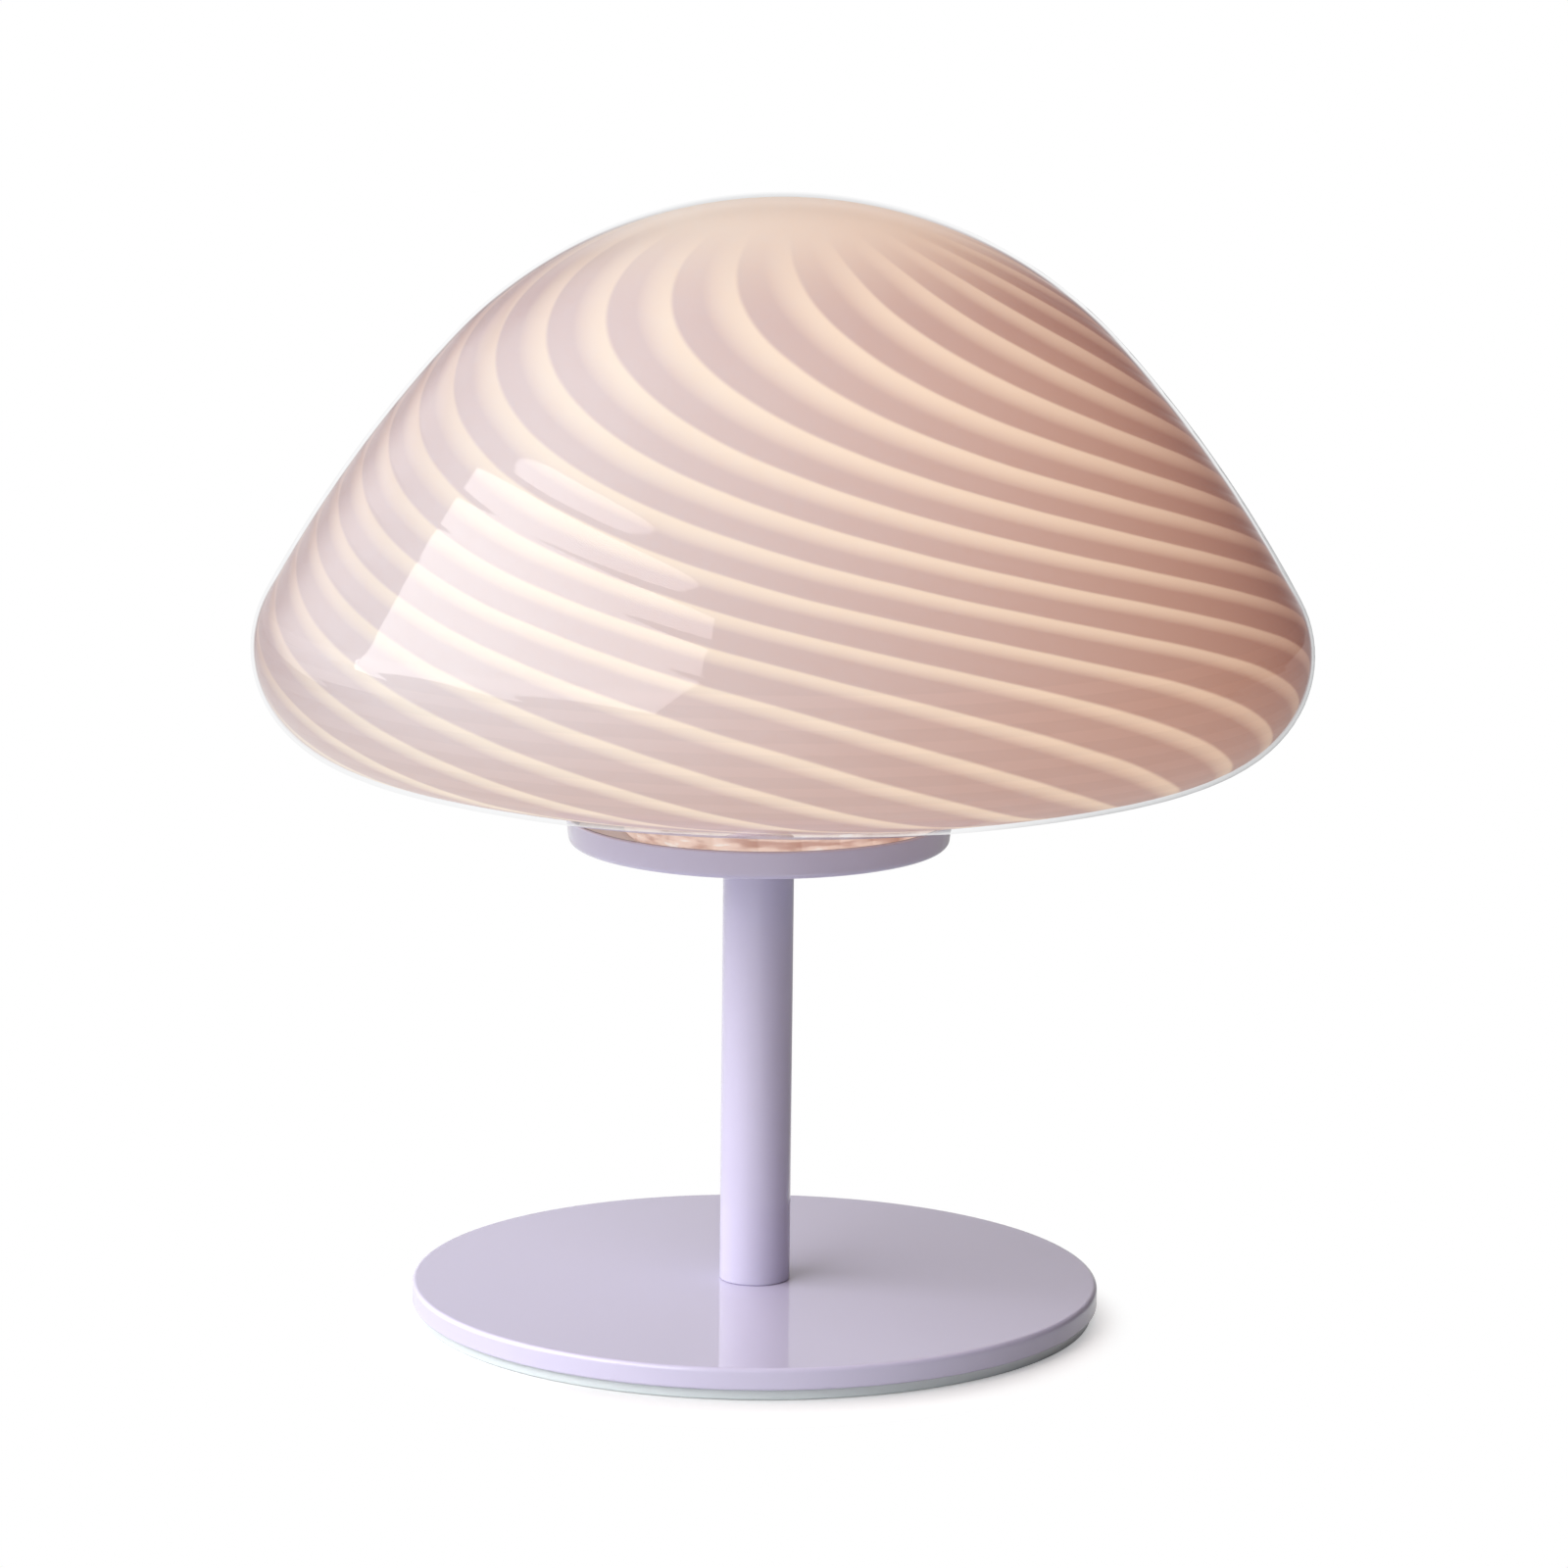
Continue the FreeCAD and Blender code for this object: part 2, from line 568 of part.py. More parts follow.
def make_plugs():
    """The two threaded plugs that are brazed into the tube's ends."""
    foot_bore = "Sizes.ScrewDiameter / 2 + Sizes.ThreadClearance"
    head_bore = "Sizes.NippleDiameter / 2 + Sizes.ThreadClearance"
    foot = turned_body(
        "stem_foot_plug", ring_outline(foot_bore, "Derived.PlugRadius", "Sizes.FootPlugLength"))
    keep(foot, z="Derived.PlateTop")
    head = turned_body(
        "stem_head_plug", ring_outline(head_bore, "Derived.PlugRadius", "Sizes.HeadPlugLength"))
    keep(head, z="Derived.StemTop - Sizes.HeadPlugLength")


def make_cord_gland():
    """The bush in the tube's back: a saddle flange outside, a sleeve through the wall, a bore."""
    piece = new_body("cord_gland")
    flange = sketch_on(piece, "gland_flange", "YZ_Plane")
    half = "Sizes.GlandFlange / 2"
    draw_outline(flange, [
        ("0", "0"),
        ("Derived.GlandOuter", "0"),
        ("Derived.GlandOuter", f"{half} - Sizes.GlandWall", "Sizes.GlandWall", "left"),
        ("Derived.GlandOuter - Sizes.GlandWall", half),
        ("0", half),
    ])
    revolve(piece, flange, axis="H_Axis")
    saddle = sketch_on(piece, "gland_saddle", "XY_Plane")
    draw_circle(saddle, "Derived.StemRadius + Sizes.PlugClearance")
    pocket(piece, saddle, "Sizes.GlandFlange * 2", midplane=True)
    sleeve = sketch_on(piece, "gland_sleeve", "YZ_Plane")
    draw_outline(sleeve, [
        ("Derived.GlandInner", "0"),
        ("Derived.GlandOuter - Sizes.GlandWall", "0"),
        ("Derived.GlandOuter - Sizes.GlandWall", "Derived.GlandRadius"),
        ("Derived.GlandInner", "Derived.GlandRadius"),
    ])
    revolve(piece, sleeve, axis="H_Axis")
    bore = sketch_on(piece, "gland_bore", "XZ_Plane")
    draw_circle(bore, "Sizes.GlandBore / 2")
    pocket(piece, bore, "Derived.GlandOuter * 2")
    keep(piece, z="Derived.GlandZ")


def make_stem_nipple():
    """The hollow threaded nipple that carries the leads up and clamps the dish and the bracket."""
    length = "(Derived.NippleTop - Derived.NippleFoot)"
    radius = "Sizes.NippleDiameter / 2"
    piece = turned_body("stem_nipple", ring_outline("Sizes.NippleBore / 2", radius, length))
    ends = on_rings((radius, "0"), (radius, length))
    finish_edges(piece, "Chamfer", "Sizes.NippleChamfer", ends)
    keep(piece, z="Derived.NippleFoot")


# ---------------------------------------------------------------- dish


def make_shade_dish():
    """The spun metal dish: flat floor, tight bend, slightly flared wall with a rounded lip."""
    piece = turned_body("shade_dish", [
        ("Derived.NippleHole", "0"),
        ("Derived.DishBendX", "0", "Sizes.DishBend", "left"),
        ("Derived.DishBendX + Sizes.DishBend * Derived.FlareCos",
         "Sizes.DishBend * (1 - Derived.FlareSin)"),
        ("Derived.LipOuter", "Sizes.DishHeight"),
        ("Derived.LipInner", "Sizes.DishHeight"),
        ("Derived.DishBendX + Derived.DishInnerBend * Derived.FlareCos",
         "Sizes.DishBend - Derived.DishInnerBend * Derived.FlareSin",
         "Derived.DishInnerBend", "right"),
        ("Derived.DishBendX", "Sizes.DishWall"),
        ("Derived.NippleHole", "Sizes.DishWall"),
    ])
    lip = on_rings(("Derived.LipOuter", "Sizes.DishHeight"), ("Derived.LipInner", "Sizes.DishHeight"))
    finish_edges(piece, "Fillet", "Sizes.DishLipRound", lip)
    keep(piece, z="Derived.StemTop")


def make_dish_liner():
    """The soft flat ring that the glass neck stands on."""
    inner = "Derived.CoverRadius + Sizes.LinerGap"
    outer = "Derived.DishBendX - Sizes.LinerGap"
    piece = turned_body("dish_liner", ring_outline(inner, outer, "Sizes.LinerThickness"))
    top = on_rings((inner, "Sizes.LinerThickness"), (outer, "Sizes.LinerThickness"))
    finish_edges(piece, "Fillet", "Sizes.LinerRound", top)
    keep(piece, z="Derived.DishTop")


# ---------------------------------------------------------------- lamp holder


def make_holder_bracket():
    """The bent strip: a web on the nipple, two legs, and two inward tabs for the holder."""
    piece = new_body("holder_bracket")
    end = "Derived.BracketLength / 2"
    inside = "(Derived.BracketLength / 2 - Sizes.BracketThickness)"
    height = "Derived.BracketHeight"
    under = "(Derived.BracketHeight - Sizes.BracketThickness)"
    outline = sketch_on(piece, "bracket_outline", "XZ_Plane")
    draw_outline(outline, [
        (f"-{end}", "0"),
        (end, "0"),
        (end, height),
        ("Derived.WindowX", height),
        ("Derived.WindowX", under),
        (inside, under),
        (inside, "Sizes.BracketThickness"),
        (f"-{inside}", "Sizes.BracketThickness"),
        (f"-{inside}", under),
        ("-Derived.WindowX", under),
        ("-Derived.WindowX", height),
        (f"-{end}", height),
    ])
    pad(piece, outline, "Sizes.BracketWidth", midplane=True)

    def at_bend(x, heights):
        places = [(side * number(x), number(z)) for side in (-1, 1) for z in heights]

        def wanted(edge):
            ends = [vertex.Point for vertex in edge.Vertexes]
            spots = [(point.x, point.z) for point in ends]
            if math.dist(*spots) > SAME:
                return False
            return any(math.dist(spots[0], place) < NEAR for place in places)

        return wanted

    outside = at_bend(end, ["0", height])
    inner_corners = at_bend(inside, ["Sizes.BracketThickness", under])
    finish_edges(piece, "Fillet", "Sizes.BracketBend + Sizes.BracketThickness", outside)
    finish_edges(piece, "Fillet", "Sizes.BracketBend", inner_corners)
    web_hole = sketch_on(piece, "nipple_hole", "XY_Plane", "Sizes.BracketThickness")
    draw_circle(web_hole, "Derived.NippleHole")
    pocket(piece, web_hole, "Sizes.BracketThickness * 2")
    tab_holes = sketch_on(piece, "tab_holes", "XY_Plane", height)
    for side in ("-", ""):
        draw_circle(tab_holes, "Derived.SmallHole", f"{side}Derived.ScrewX")
    pocket(piece, tab_holes, "Sizes.BracketThickness * 2")
    keep(piece, z="Derived.DishTop")


def make_earth_ring():
    """The earth terminal: a ring on the nipple, and an upright barrel for its lead."""
    full = "Sizes.RingThickness"
    ring = primitive(
        "Cylinder", "earth_disc",
        Radius="Sizes.NippleDiameter / 2 + Sizes.RingMargin", Height=full)
    tongue = primitive(
        "Box", "earth_tongue", ("0", "-Derived.BarrelRadius", "0"),
        Length="Derived.BarrelX", Width="2 * Derived.BarrelRadius", Height=full)
    barrel = primitive(
        "Cylinder", "earth_barrel", ("Derived.BarrelX", "0", "0"),
        Radius="Derived.BarrelRadius", Height="Sizes.BarrelHeight")
    hole = primitive("Cylinder", "earth_hole", Radius="Derived.NippleHole", Height=full)
    bore = primitive(
        "Cylinder", "earth_bore", ("Derived.BarrelX", "0", full),
        Radius="Derived.WireHole", Height="Sizes.BarrelHeight")
    blank = together("earth_blank", [ring, tongue, barrel])
    keep(cut("earth_ring", blank, together("earth_cuts", [hole, bore])), z="Derived.WebTop")


def make_lock_washer():
    """The toothed washer under the nut."""
    piece = new_body("lock_washer")
    radius = "Sizes.WasherDiameter / 2"
    outline = sketch_on(piece, "washer_outline", "XY_Plane")
    draw_circle(outline, radius)
    draw_circle(outline, "Derived.NippleHole")
    pad(piece, outline, "Sizes.WasherThickness")
    gap = sketch_on(piece, "tooth_gap", "XY_Plane")
    half_gap = f"pi * Sizes.WasherDiameter / {4 * WASHER_TEETH}"
    draw_outline(gap, [
        (f"{radius} - Sizes.ToothDepth", f"-{half_gap}"),
        (f"{radius} + Sizes.ToothDepth", f"-{half_gap}"),
        (f"{radius} + Sizes.ToothDepth", half_gap),
        (f"{radius} - Sizes.ToothDepth", half_gap),
    ])
    first_gap = pocket(piece, gap, "Sizes.WasherThickness", backwards=True)
    gaps = piece.newObject("PartDesign::PolarPattern", "tooth_gaps")
    gaps.Originals = [first_gap]
    gaps.Axis = (origin_item(piece, "Z_Axis"), [""])
    gaps.Angle = 360
    gaps.Occurrences = WASHER_TEETH
    piece.Tip = gaps
    document.recompute()
    keep(piece, z="Derived.RingTop")


def make_nipple_nut():
    """The thin hexagon nut on the nipple."""
    piece = new_body("nipple_nut")
    outline = sketch_on(piece, "nut_outline", "XY_Plane")
    draw_hexagon(outline, "Sizes.NutAcrossFlats")
    draw_circle(outline, "Sizes.NippleDiameter / 2 + Sizes.ThreadClearance")
    pad(piece, outline, "Sizes.NutThickness")
    keep(piece, z="Derived.WasherTop")


def make_lampholder():
    """The ceramic holder: two ears, a block with two pin sockets, and a wire hole under each."""
    piece = new_body("lampholder")
    half_width = "Sizes.HolderWidth / 2"
    pin_x = "Sizes.PinSpacing / 2"
    ears = sketch_on(piece, "ears_outline", "XY_Plane")
    draw_box(ears, "Derived.HolderLength / 2", half_width)
    pad(piece, ears, "Sizes.EarThickness")
    block = sketch_on(piece, "block_outline", "XY_Plane")
    draw_box(block, "Derived.BlockLength / 2", half_width)
    pad(piece, block, "Derived.HolderHeight")
    finish_edges(piece, "Fillet", "Sizes.HolderRound", upright)
    sockets = sketch_on(piece, "pin_sockets", "XY_Plane", "Derived.HolderHeight")
    wire_holes = sketch_on(piece, "wire_holes", "XY_Plane")
    screw_holes = sketch_on(piece, "screw_holes", "XY_Plane")
    for side in ("-", ""):
        draw_box(sockets, "Derived.SocketLength / 2", "Derived.SocketWidth / 2", f"{side}{pin_x}")
        draw_circle(wire_holes, "Derived.WireHole", f"{side}{pin_x}")
        draw_circle(screw_holes, "Derived.SmallHole", f"{side}Derived.ScrewX")
    pocket(piece, sockets, "Derived.SocketDepth")
    pocket(piece, wire_holes, "Sizes.HolderFloor", backwards=True)
    pocket(piece, screw_holes, "Sizes.EarThickness", backwards=True)
    keep(piece, z="Derived.ShelfTop")


def make_holder_contacts():
    """One springy channel in each socket, which grips a pin loop from both sides."""
    length = "(Derived.SocketLength - 2 * Sizes.ContactClearance)"
    outer = "(Derived.SocketWidth - 2 * Sizes.ContactClearance)"
    inner = f"({outer} - 2 * Sizes.ContactThickness)"
    channels = []
    for name, side in (("left", "-"), ("right", "")):
        start = f"{side}Sizes.PinSpacing / 2 - {length} / 2"
        block = primitive(
            "Box", f"contact_block_{name}", (start, f"-{outer} / 2", "0"),
            Length=length, Width=outer, Height="Derived.SocketDepth - Sizes.ContactThickness")
        slot = primitive(
            "Box", f"contact_slot_{name}", (start, f"-{inner} / 2", "Sizes.ContactThickness"),
            Length=length, Width=inner, Height="Derived.SocketDepth")
        channels.append(cut(f"contact_{name}", block, slot))
    keep(together("holder_contacts", channels), z="Derived.ShelfTop + Sizes.HolderFloor")


def make_holder_cover():
    """The cap over the bracket and the joints, held on the holder's ears by its two screws."""
    roof = "(Derived.CoverHeight - Sizes.CoverWall)"
    piece = turned_body("holder_cover", [
        ("Derived.CoverBore", "0"),
        ("Derived.CoverRadius", "0"),
        ("Derived.CoverRadius", "Derived.CoverHeight"),
        ("0", "Derived.CoverHeight"),
        ("0", roof),
        ("Derived.CoverBore", roof),
    ])
    shoulder = on_rings(("Derived.CoverRadius", "Derived.CoverHeight"))
    inner_shoulder = on_rings(("Derived.CoverBore", roof))
    finish_edges(piece, "Fillet", "Sizes.CoverRound", shoulder)
    finish_edges(piece, "Fillet", "Sizes.CoverRound - Sizes.CoverWall", inner_shoulder)
    window = sketch_on(piece, "cover_window", "XY_Plane", "Derived.CoverHeight")
    draw_box(
        window, "Derived.BlockLength / 2 + Sizes.CoverHoleClearance",
        "Sizes.HolderWidth / 2 + Sizes.CoverHoleClearance")
    for side in ("-", ""):
        draw_circle(window, "Derived.SmallHole", f"{side}Derived.ScrewX")
    pocket(piece, window, "Sizes.CoverWall * 2")
    keep(piece, z="Derived.CoverFoot")


def make_holder_fasteners():
    """Two screws down through cover, ears and tabs, and their nuts."""
    screws = []
    nuts = []
    radius = "Sizes.SmallScrewDiameter / 2"
    shank_length = (
        "(Sizes.CoverWall + Sizes.EarThickness + Sizes.BracketThickness"
        " + Sizes.SmallNutThickness + Sizes.ThreadClearance)")
    for name, side in (("left", "-"), ("right", "")):
        x = f"{side}Derived.ScrewX"
        shank = primitive(
            "Cylinder", f"screw_shank_{name}", (x, "0", f"-{shank_length}"),
            Radius=radius, Height=shank_length)
        head = primitive(
            "Cylinder", f"screw_head_{name}", (x, "0", "0"),
            Radius="Sizes.SmallHeadDiameter / 2", Height="Sizes.SmallHeadHeight")
        slot_corner = (
            f"{x} - Sizes.SmallHeadDiameter / 2",
            "-Sizes.SmallHeadSlot / 2",
            "Sizes.SmallHeadHeight - Sizes.SmallSlotDepth",
        )
        slot = primitive(
            "Box", f"screw_slot_{name}", slot_corner, Length="Sizes.SmallHeadDiameter",
            Width="Sizes.SmallHeadSlot", Height="Sizes.SmallSlotDepth")
        screws.append(cut(f"screw_{name}", together(f"screw_blank_{name}", [shank, head]), slot))
        hexagon = primitive(
            "Prism", f"nut_hexagon_{name}", (x, "0", "0"),
            Circumradius="Derived.SmallNutCorner", Height="Sizes.SmallNutThickness")
        hexagon.Polygon = 6
        bore = primitive(
            "Cylinder", f"nut_bore_{name}", (x, "0", "0"),
            Radius=f"{radius} + Sizes.ThreadClearance", Height="Sizes.SmallNutThickness")
        nuts.append(cut(f"nut_{name}", hexagon, bore))
    keep(together("holder_screws", screws), z="Derived.EarTop + Sizes.CoverWall")
    nut_foot = "Derived.ShelfTop - Sizes.BracketThickness - Sizes.SmallNutThickness"
    keep(together("holder_nuts", nuts), z=nut_foot)


# ---------------------------------------------------------------- leads


def place(x, y, z):
    """A point in space from three expressions."""
    return Vector(number(x), number(y), number(z))


def rounded_path(points, bend):
    """A wire along straight runs, with a tangent arc of the bend radius at each inner point, or
    the largest arc that its two runs allow."""
    edges = []
    here = points[0]
    for before, corner, after in zip(points, points[1:], points[2:]):
        back = (before - corner).normalize()
        ahead = (after - corner).normalize()
        half_turn = (math.pi - back.getAngle(ahead)) / 2
        shorter = min((before - corner).Length, (after - corner).Length)
        reach = min(bend * math.tan(half_turn), BEND_SHARE * shorter)
        inward = (back + ahead).normalize()
        radius = reach / math.tan(half_turn)
        middle = corner + inward * (radius / math.cos(half_turn) - radius)
        start = corner + back * reach
        end = corner + ahead * reach
        edges.append(Part.LineSegment(here, start).toShape())
        edges.append(Part.Arc(start, middle, end).toShape())
        here = end
    edges.append(Part.LineSegment(here, points[-1]).toShape())
    return Part.Wire(edges)


def round_tube(path, radius):
    """A solid of round section along a path."""
    start = path.Edges[0]
    direction = start.tangentAt(start.FirstParameter)
    ring = Part.Circle(path.Vertexes[0].Point, direction, radius).toShape()
    return path.makePipeShell([Part.Wire([ring])], True, False)


def keep_shape(label, shape):
    """List a sub-part whose shape is set directly."""
    piece = document.addObject("Part::Feature", label)
    piece.Label = label
    piece.Shape = shape
    piece.Placement = FreeCAD.Placement()
    sub_parts.append(piece)


def make_leads():
    """The leads in the stem: in at the gland, up through the nipple, over, and down to their joint."""
    radius = number("Derived.WireRadius")
    bundle = number("Derived.BundleRadius")
    gland = place("0", "Derived.GlandInner - Sizes.LeadSetback", "Derived.GlandZ")
    gather = number("Derived.NippleFoot - Sizes.LeadGather")
    near = number("Sizes.LiveTurn")
    far = number("Sizes.OtherTurn")
    pitch = number("Sizes.WirePitch")
    splice_y = number("Derived.SpliceY")
    barrel_x = number("Derived.BarrelX")
    joint_floor = number("Derived.SpliceFoot + Sizes.SpliceWall + Sizes.WireClearance")
    barrel_floor = number("Derived.RingTop + Sizes.WireClearance")
    # Label, angle round the gland's axis, where it turns up, where it rises and drops, its end.
    ways = [
        ("lead_live", 90, -near, Vector(0, pitch, 0), Vector(0, splice_y, 0), joint_floor),
        ("lead_neutral", 210, -far, Vector(0, -pitch, 0), Vector(0, -splice_y, 0), joint_floor),
        ("lead_earth", 330, -far, Vector(pitch, 0, 0), Vector(barrel_x, 0, 0), barrel_floor),
    ]
    for label, angle, back, rise, drop, floor in ways:
        turn = math.radians(angle)
        entry = gland + Vector(math.cos(turn), 0, math.sin(turn)) * bundle
        corner = Vector(entry.x, back, entry.z)
        crown = number("Derived.NippleTop + Sizes.WireRise") + (drop - rise).Length / 2
        path = rounded_path([
            entry,
            corner,
            rise + UP * gather,
            rise + UP * crown,
            drop + UP * crown,
            drop + UP * floor,
        ], number("Sizes.LeadBend"))
        keep_shape(label, round_tube(path, radius))


def make_tails():
    """The holder's two tails, from its contacts over to the crimp splices."""
    for label, side in (("tail_live", 1), ("tail_neutral", -1)):
        contact = "Derived.ShelfTop + Sizes.HolderFloor - Sizes.WireClearance"
        joint = "Derived.SpliceFoot + Sizes.SpliceWall + Sizes.WireClearance"
        points = [
            place("Sizes.PinSpacing / 2", "0", contact),
            place("Sizes.PinSpacing / 2", "0", "Derived.TailZ"),
            place("Derived.SplicePitch", "Derived.SpliceY", "Derived.TailZ"),
            place("Derived.SplicePitch", "Derived.SpliceY", joint),
        ]
        turned = [Vector(side * point.x, side * point.y, point.z) for point in points]
        path = rounded_path(turned, number("Sizes.TailBend"))
        keep_shape(label, round_tube(path, number("Derived.WireRadius")))


def make_wire_splices():
    """Two closed crimp splices, each with a lead and a tail side by side in it."""
    splices = []
    for name, side in (("live", ""), ("neutral", "-")):
        centre = (f"{side}Derived.SplicePitch / 2", f"{side}Derived.SpliceY")
        barrel = primitive(
            "Cylinder", f"splice_barrel_{name}", (*centre, "0"),
            Radius="Derived.SpliceRadius", Height="Derived.SpliceLength")
        bores = []
        for which, x in (("lead", "0"), ("tail", f"{side}Derived.SplicePitch")):
            bores.append(primitive(
                "Cylinder", f"splice_bore_{name}_{which}", (x, centre[1], "Sizes.SpliceWall"),
                Radius="Derived.WireHole", Height="Derived.SpliceLength"))
        splices.append(cut(f"splice_{name}", barrel, together(f"splice_bores_{name}", bores)))
    keep(together("wire_splices", splices), z="Derived.SpliceFoot")


# ---------------------------------------------------------------- bulb


def make_bulb_base():
    """The bulb's base: a block on the holder, and a round collar for the envelope."""
    piece = new_body("bulb_base")
    block = sketch_on(piece, "base_block", "XY_Plane")
    draw_box(block, "Sizes.BulbBaseLength / 2", "Sizes.BulbBaseWidth / 2")
    pad(piece, block, "Sizes.BulbBaseHeight")
    finish_edges(piece, "Fillet", "Sizes.HolderRound", upright)
    collar = sketch_on(piece, "base_collar", "XY_Plane", "Sizes.BulbBaseHeight")
    draw_circle(collar, "Sizes.BulbDiameter / 2")
    pad(piece, collar, "Sizes.BulbCollarHeight")
    keep(piece, z="Derived.BulbSeat")


def make_bulb_pins():
    """The two hairpin loops that plug into the sockets."""
    wire = number("Sizes.PinWire") / 2
    bow = number("Sizes.PinWidth") / 2 - wire
    top = number("Derived.BulbSeat")
    tip = top - number("Sizes.PinLength") + wire
    loops = []
    for side in (-1, 1):
        middle = Vector(side * number("Sizes.PinSpacing") / 2, 0, 0)
        down = [middle + Vector(-bow, 0, top), middle + Vector(-bow, 0, tip + bow)]
        up = [middle + Vector(bow, 0, tip + bow), middle + Vector(bow, 0, top)]
        edges = [
            Part.LineSegment(*down).toShape(),
            Part.Arc(down[1], middle + Vector(0, 0, tip), up[0]).toShape(),
            Part.LineSegment(*up).toShape(),
        ]
        loops.append(round_tube(Part.Wire(edges), wire))
    keep_shape("bulb_pins", Part.makeCompound(loops))


def make_bulb_emitters():
    """The ceramic carrier, and one light-emitting strip on each of its flats."""
    half_side = 180 / CARRIER_SIDES
    apothem = "Sizes.CarrierDiameter / 2"
    carrier = primitive(
        "Prism", "bulb_carrier",
        Circumradius=f"{apothem} / cos({half_side})", Height="Sizes.CarrierHeight")
    carrier.Polygon = CARRIER_SIDES
    keep(carrier, z="Derived.CollarTop")
    strips = []
    for index in range(CARRIER_SIDES):
        angle = half_side + index * 360 / CARRIER_SIDES
        corner = (
            f"{apothem} * cos({angle}) + Sizes.EmitterWidth / 2 * sin({angle})",
            f"{apothem} * sin({angle}) - Sizes.EmitterWidth / 2 * cos({angle})",
            "Sizes.EmitterMargin",
        )
        strips.append(primitive(
            "Box", f"strip_{index}", corner, FreeCAD.Rotation(UP, angle),
            Length="Sizes.EmitterThickness", Width="Sizes.EmitterWidth",
            Height="Sizes.CarrierHeight - 2 * Sizes.EmitterMargin"))
    keep(together("bulb_emitters", strips), z="Derived.CollarTop")


def make_bulb_envelope():
    """The bulb's glass: a tube with a round dome."""
    outer = "Sizes.BulbDiameter / 2"
    inner = f"({outer} - Sizes.BulbWall)"
    shoulder = f"(Sizes.BulbLength - {outer})"
    keep(turned_body("bulb_envelope", [
        (inner, "0"),
        (outer, "0"),
        (outer, shoulder, outer, "left"),
        ("0", "Sizes.BulbLength"),
        ("0", "Sizes.BulbLength - Sizes.BulbWall", inner, "right"),
        (inner, shoulder),
    ]), z="Derived.CollarTop")


# ---------------------------------------------------------------- shade


def make_glass_shade():
    """The blown shade. Outside, tangent arcs run from the top over the flank, round the tight rim
    and back under to the neck. The inner wall keeps the same centres, one wall further in."""
    wall = "Sizes.GlassWall"

    def on_crown(depth):
        radius = f"(Derived.CrownRadius - {depth})"
        return (f"{radius} * Derived.CrownSin", f"Derived.CrownZ + {radius} * Derived.CrownCos")

    def on_shoulder(depth):
        radius = f"(Sizes.RimRadius - {depth})"
        return (f"Derived.RimX + {radius} * Derived.ShoulderSin",
                f"Derived.RimZ + {radius} * Derived.ShoulderCos")

    def on_under(depth):
        radius = f"(Sizes.RimRadius - {depth})"
        return (f"Derived.RimX + {radius} * Derived.UnderSin",
                f"Derived.RimZ + {radius} * Derived.UnderCos")

    piece = turned_body("glass_shade", [
        ("0", "Derived.CrownZ + Derived.CrownRadius", "Derived.CrownRadius", "right"),
        (*on_crown("0"), "Sizes.FlankRadius", "right"),
        (*on_shoulder("0"), "Sizes.RimRadius", "right"),
        (*on_under("0"), "Derived.UnderRadius", "right"),
        ("Derived.BellyX", "Derived.UnderZ", "Sizes.NeckRound", "left"),
        ("Derived.NeckRadius", "Derived.UnderZ - Sizes.NeckRound"),
        ("Derived.NeckRadius", "0"),
        ("Derived.NeckBore", "0"),
        ("Derived.NeckBore", "Derived.UnderZ - Sizes.NeckRound",
         f"Sizes.NeckRound + {wall}", "right"),
        ("Derived.BellyX", f"Derived.UnderZ + {wall}", f"Derived.UnderRadius - {wall}", "left"),
        (*on_under(wall), f"Sizes.RimRadius - {wall}", "left"),
        (*on_shoulder(wall), f"Sizes.FlankRadius - {wall}", "left"),
        (*on_crown(wall), f"Derived.CrownRadius - {wall}", "left"),
        ("0", f"Derived.CrownZ + Derived.CrownRadius - {wall}"),
    ])
    lip = on_rings(("Derived.NeckRadius", "0"), ("Derived.NeckBore", "0"))
    finish_edges(piece, "Fillet", "Sizes.NeckLipRound", lip)
    keep(piece, z="Derived.ShadeSeat", x="Sizes.ShadeOffset")


# ---------------------------------------------------------------- build and write


def make_everything():
    """Build every sub-part, from the floor up."""
    make_base_pad()
    make_base_plate()
    make_base_screw()
    make_stem_tube()
    make_plugs()
    make_cord_gland()
    make_stem_nipple()
    make_shade_dish()
    make_dish_liner()
    make_holder_bracket()
    make_earth_ring()
    make_lock_washer()
    make_nipple_nut()
    make_lampholder()
    make_holder_contacts()
    make_holder_cover()
    make_holder_fasteners()
    make_leads()
    make_tails()
    make_wire_splices()
    make_bulb_base()
    make_bulb_pins()
    make_bulb_emitters()
    make_bulb_envelope()
    make_glass_shade()
    document.recompute()


def check_everything():
    """Stop if any object failed, or any sub-part has no sound solid."""
    for item in document.Objects:
        if "Invalid" in item.State or "Error" in item.State:
            raise RuntimeError(f"{item.Label} failed: {item.State}")
    for piece in sub_parts:
        shape = piece.Shape
        if shape.isNull() or not shape.isValid() or not shape.Solids:
            raise RuntimeError(f"{piece.Label} has no sound solid")


make_everything()
check_everything()
os.makedirs("parts", exist_ok=True)
for piece in sub_parts:
    piece.Shape.exportStep(f"parts/{piece.Label}.step")
    box = piece.Shape.BoundBox
    print(f"{piece.Label:16s} {len(piece.Shape.Solids)} solid(s), {piece.Shape.Volume:10.1f} mm3,"
          f" z {box.ZMin:7.2f} to {box.ZMax:7.2f}")
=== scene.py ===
# %% [markdown]
# A mushroom table lamp. A blown glass shade rests by its neck in a shallow lacquered dish, on a
# slim stem and a round base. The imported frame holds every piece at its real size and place, so
# this script never moves one: it gives the frame's pieces their finish, and stands smoother
# meshes in for the ones that show most.

# %% Load the frame
import json
import math

import bpy
from mathutils import Matrix, Vector


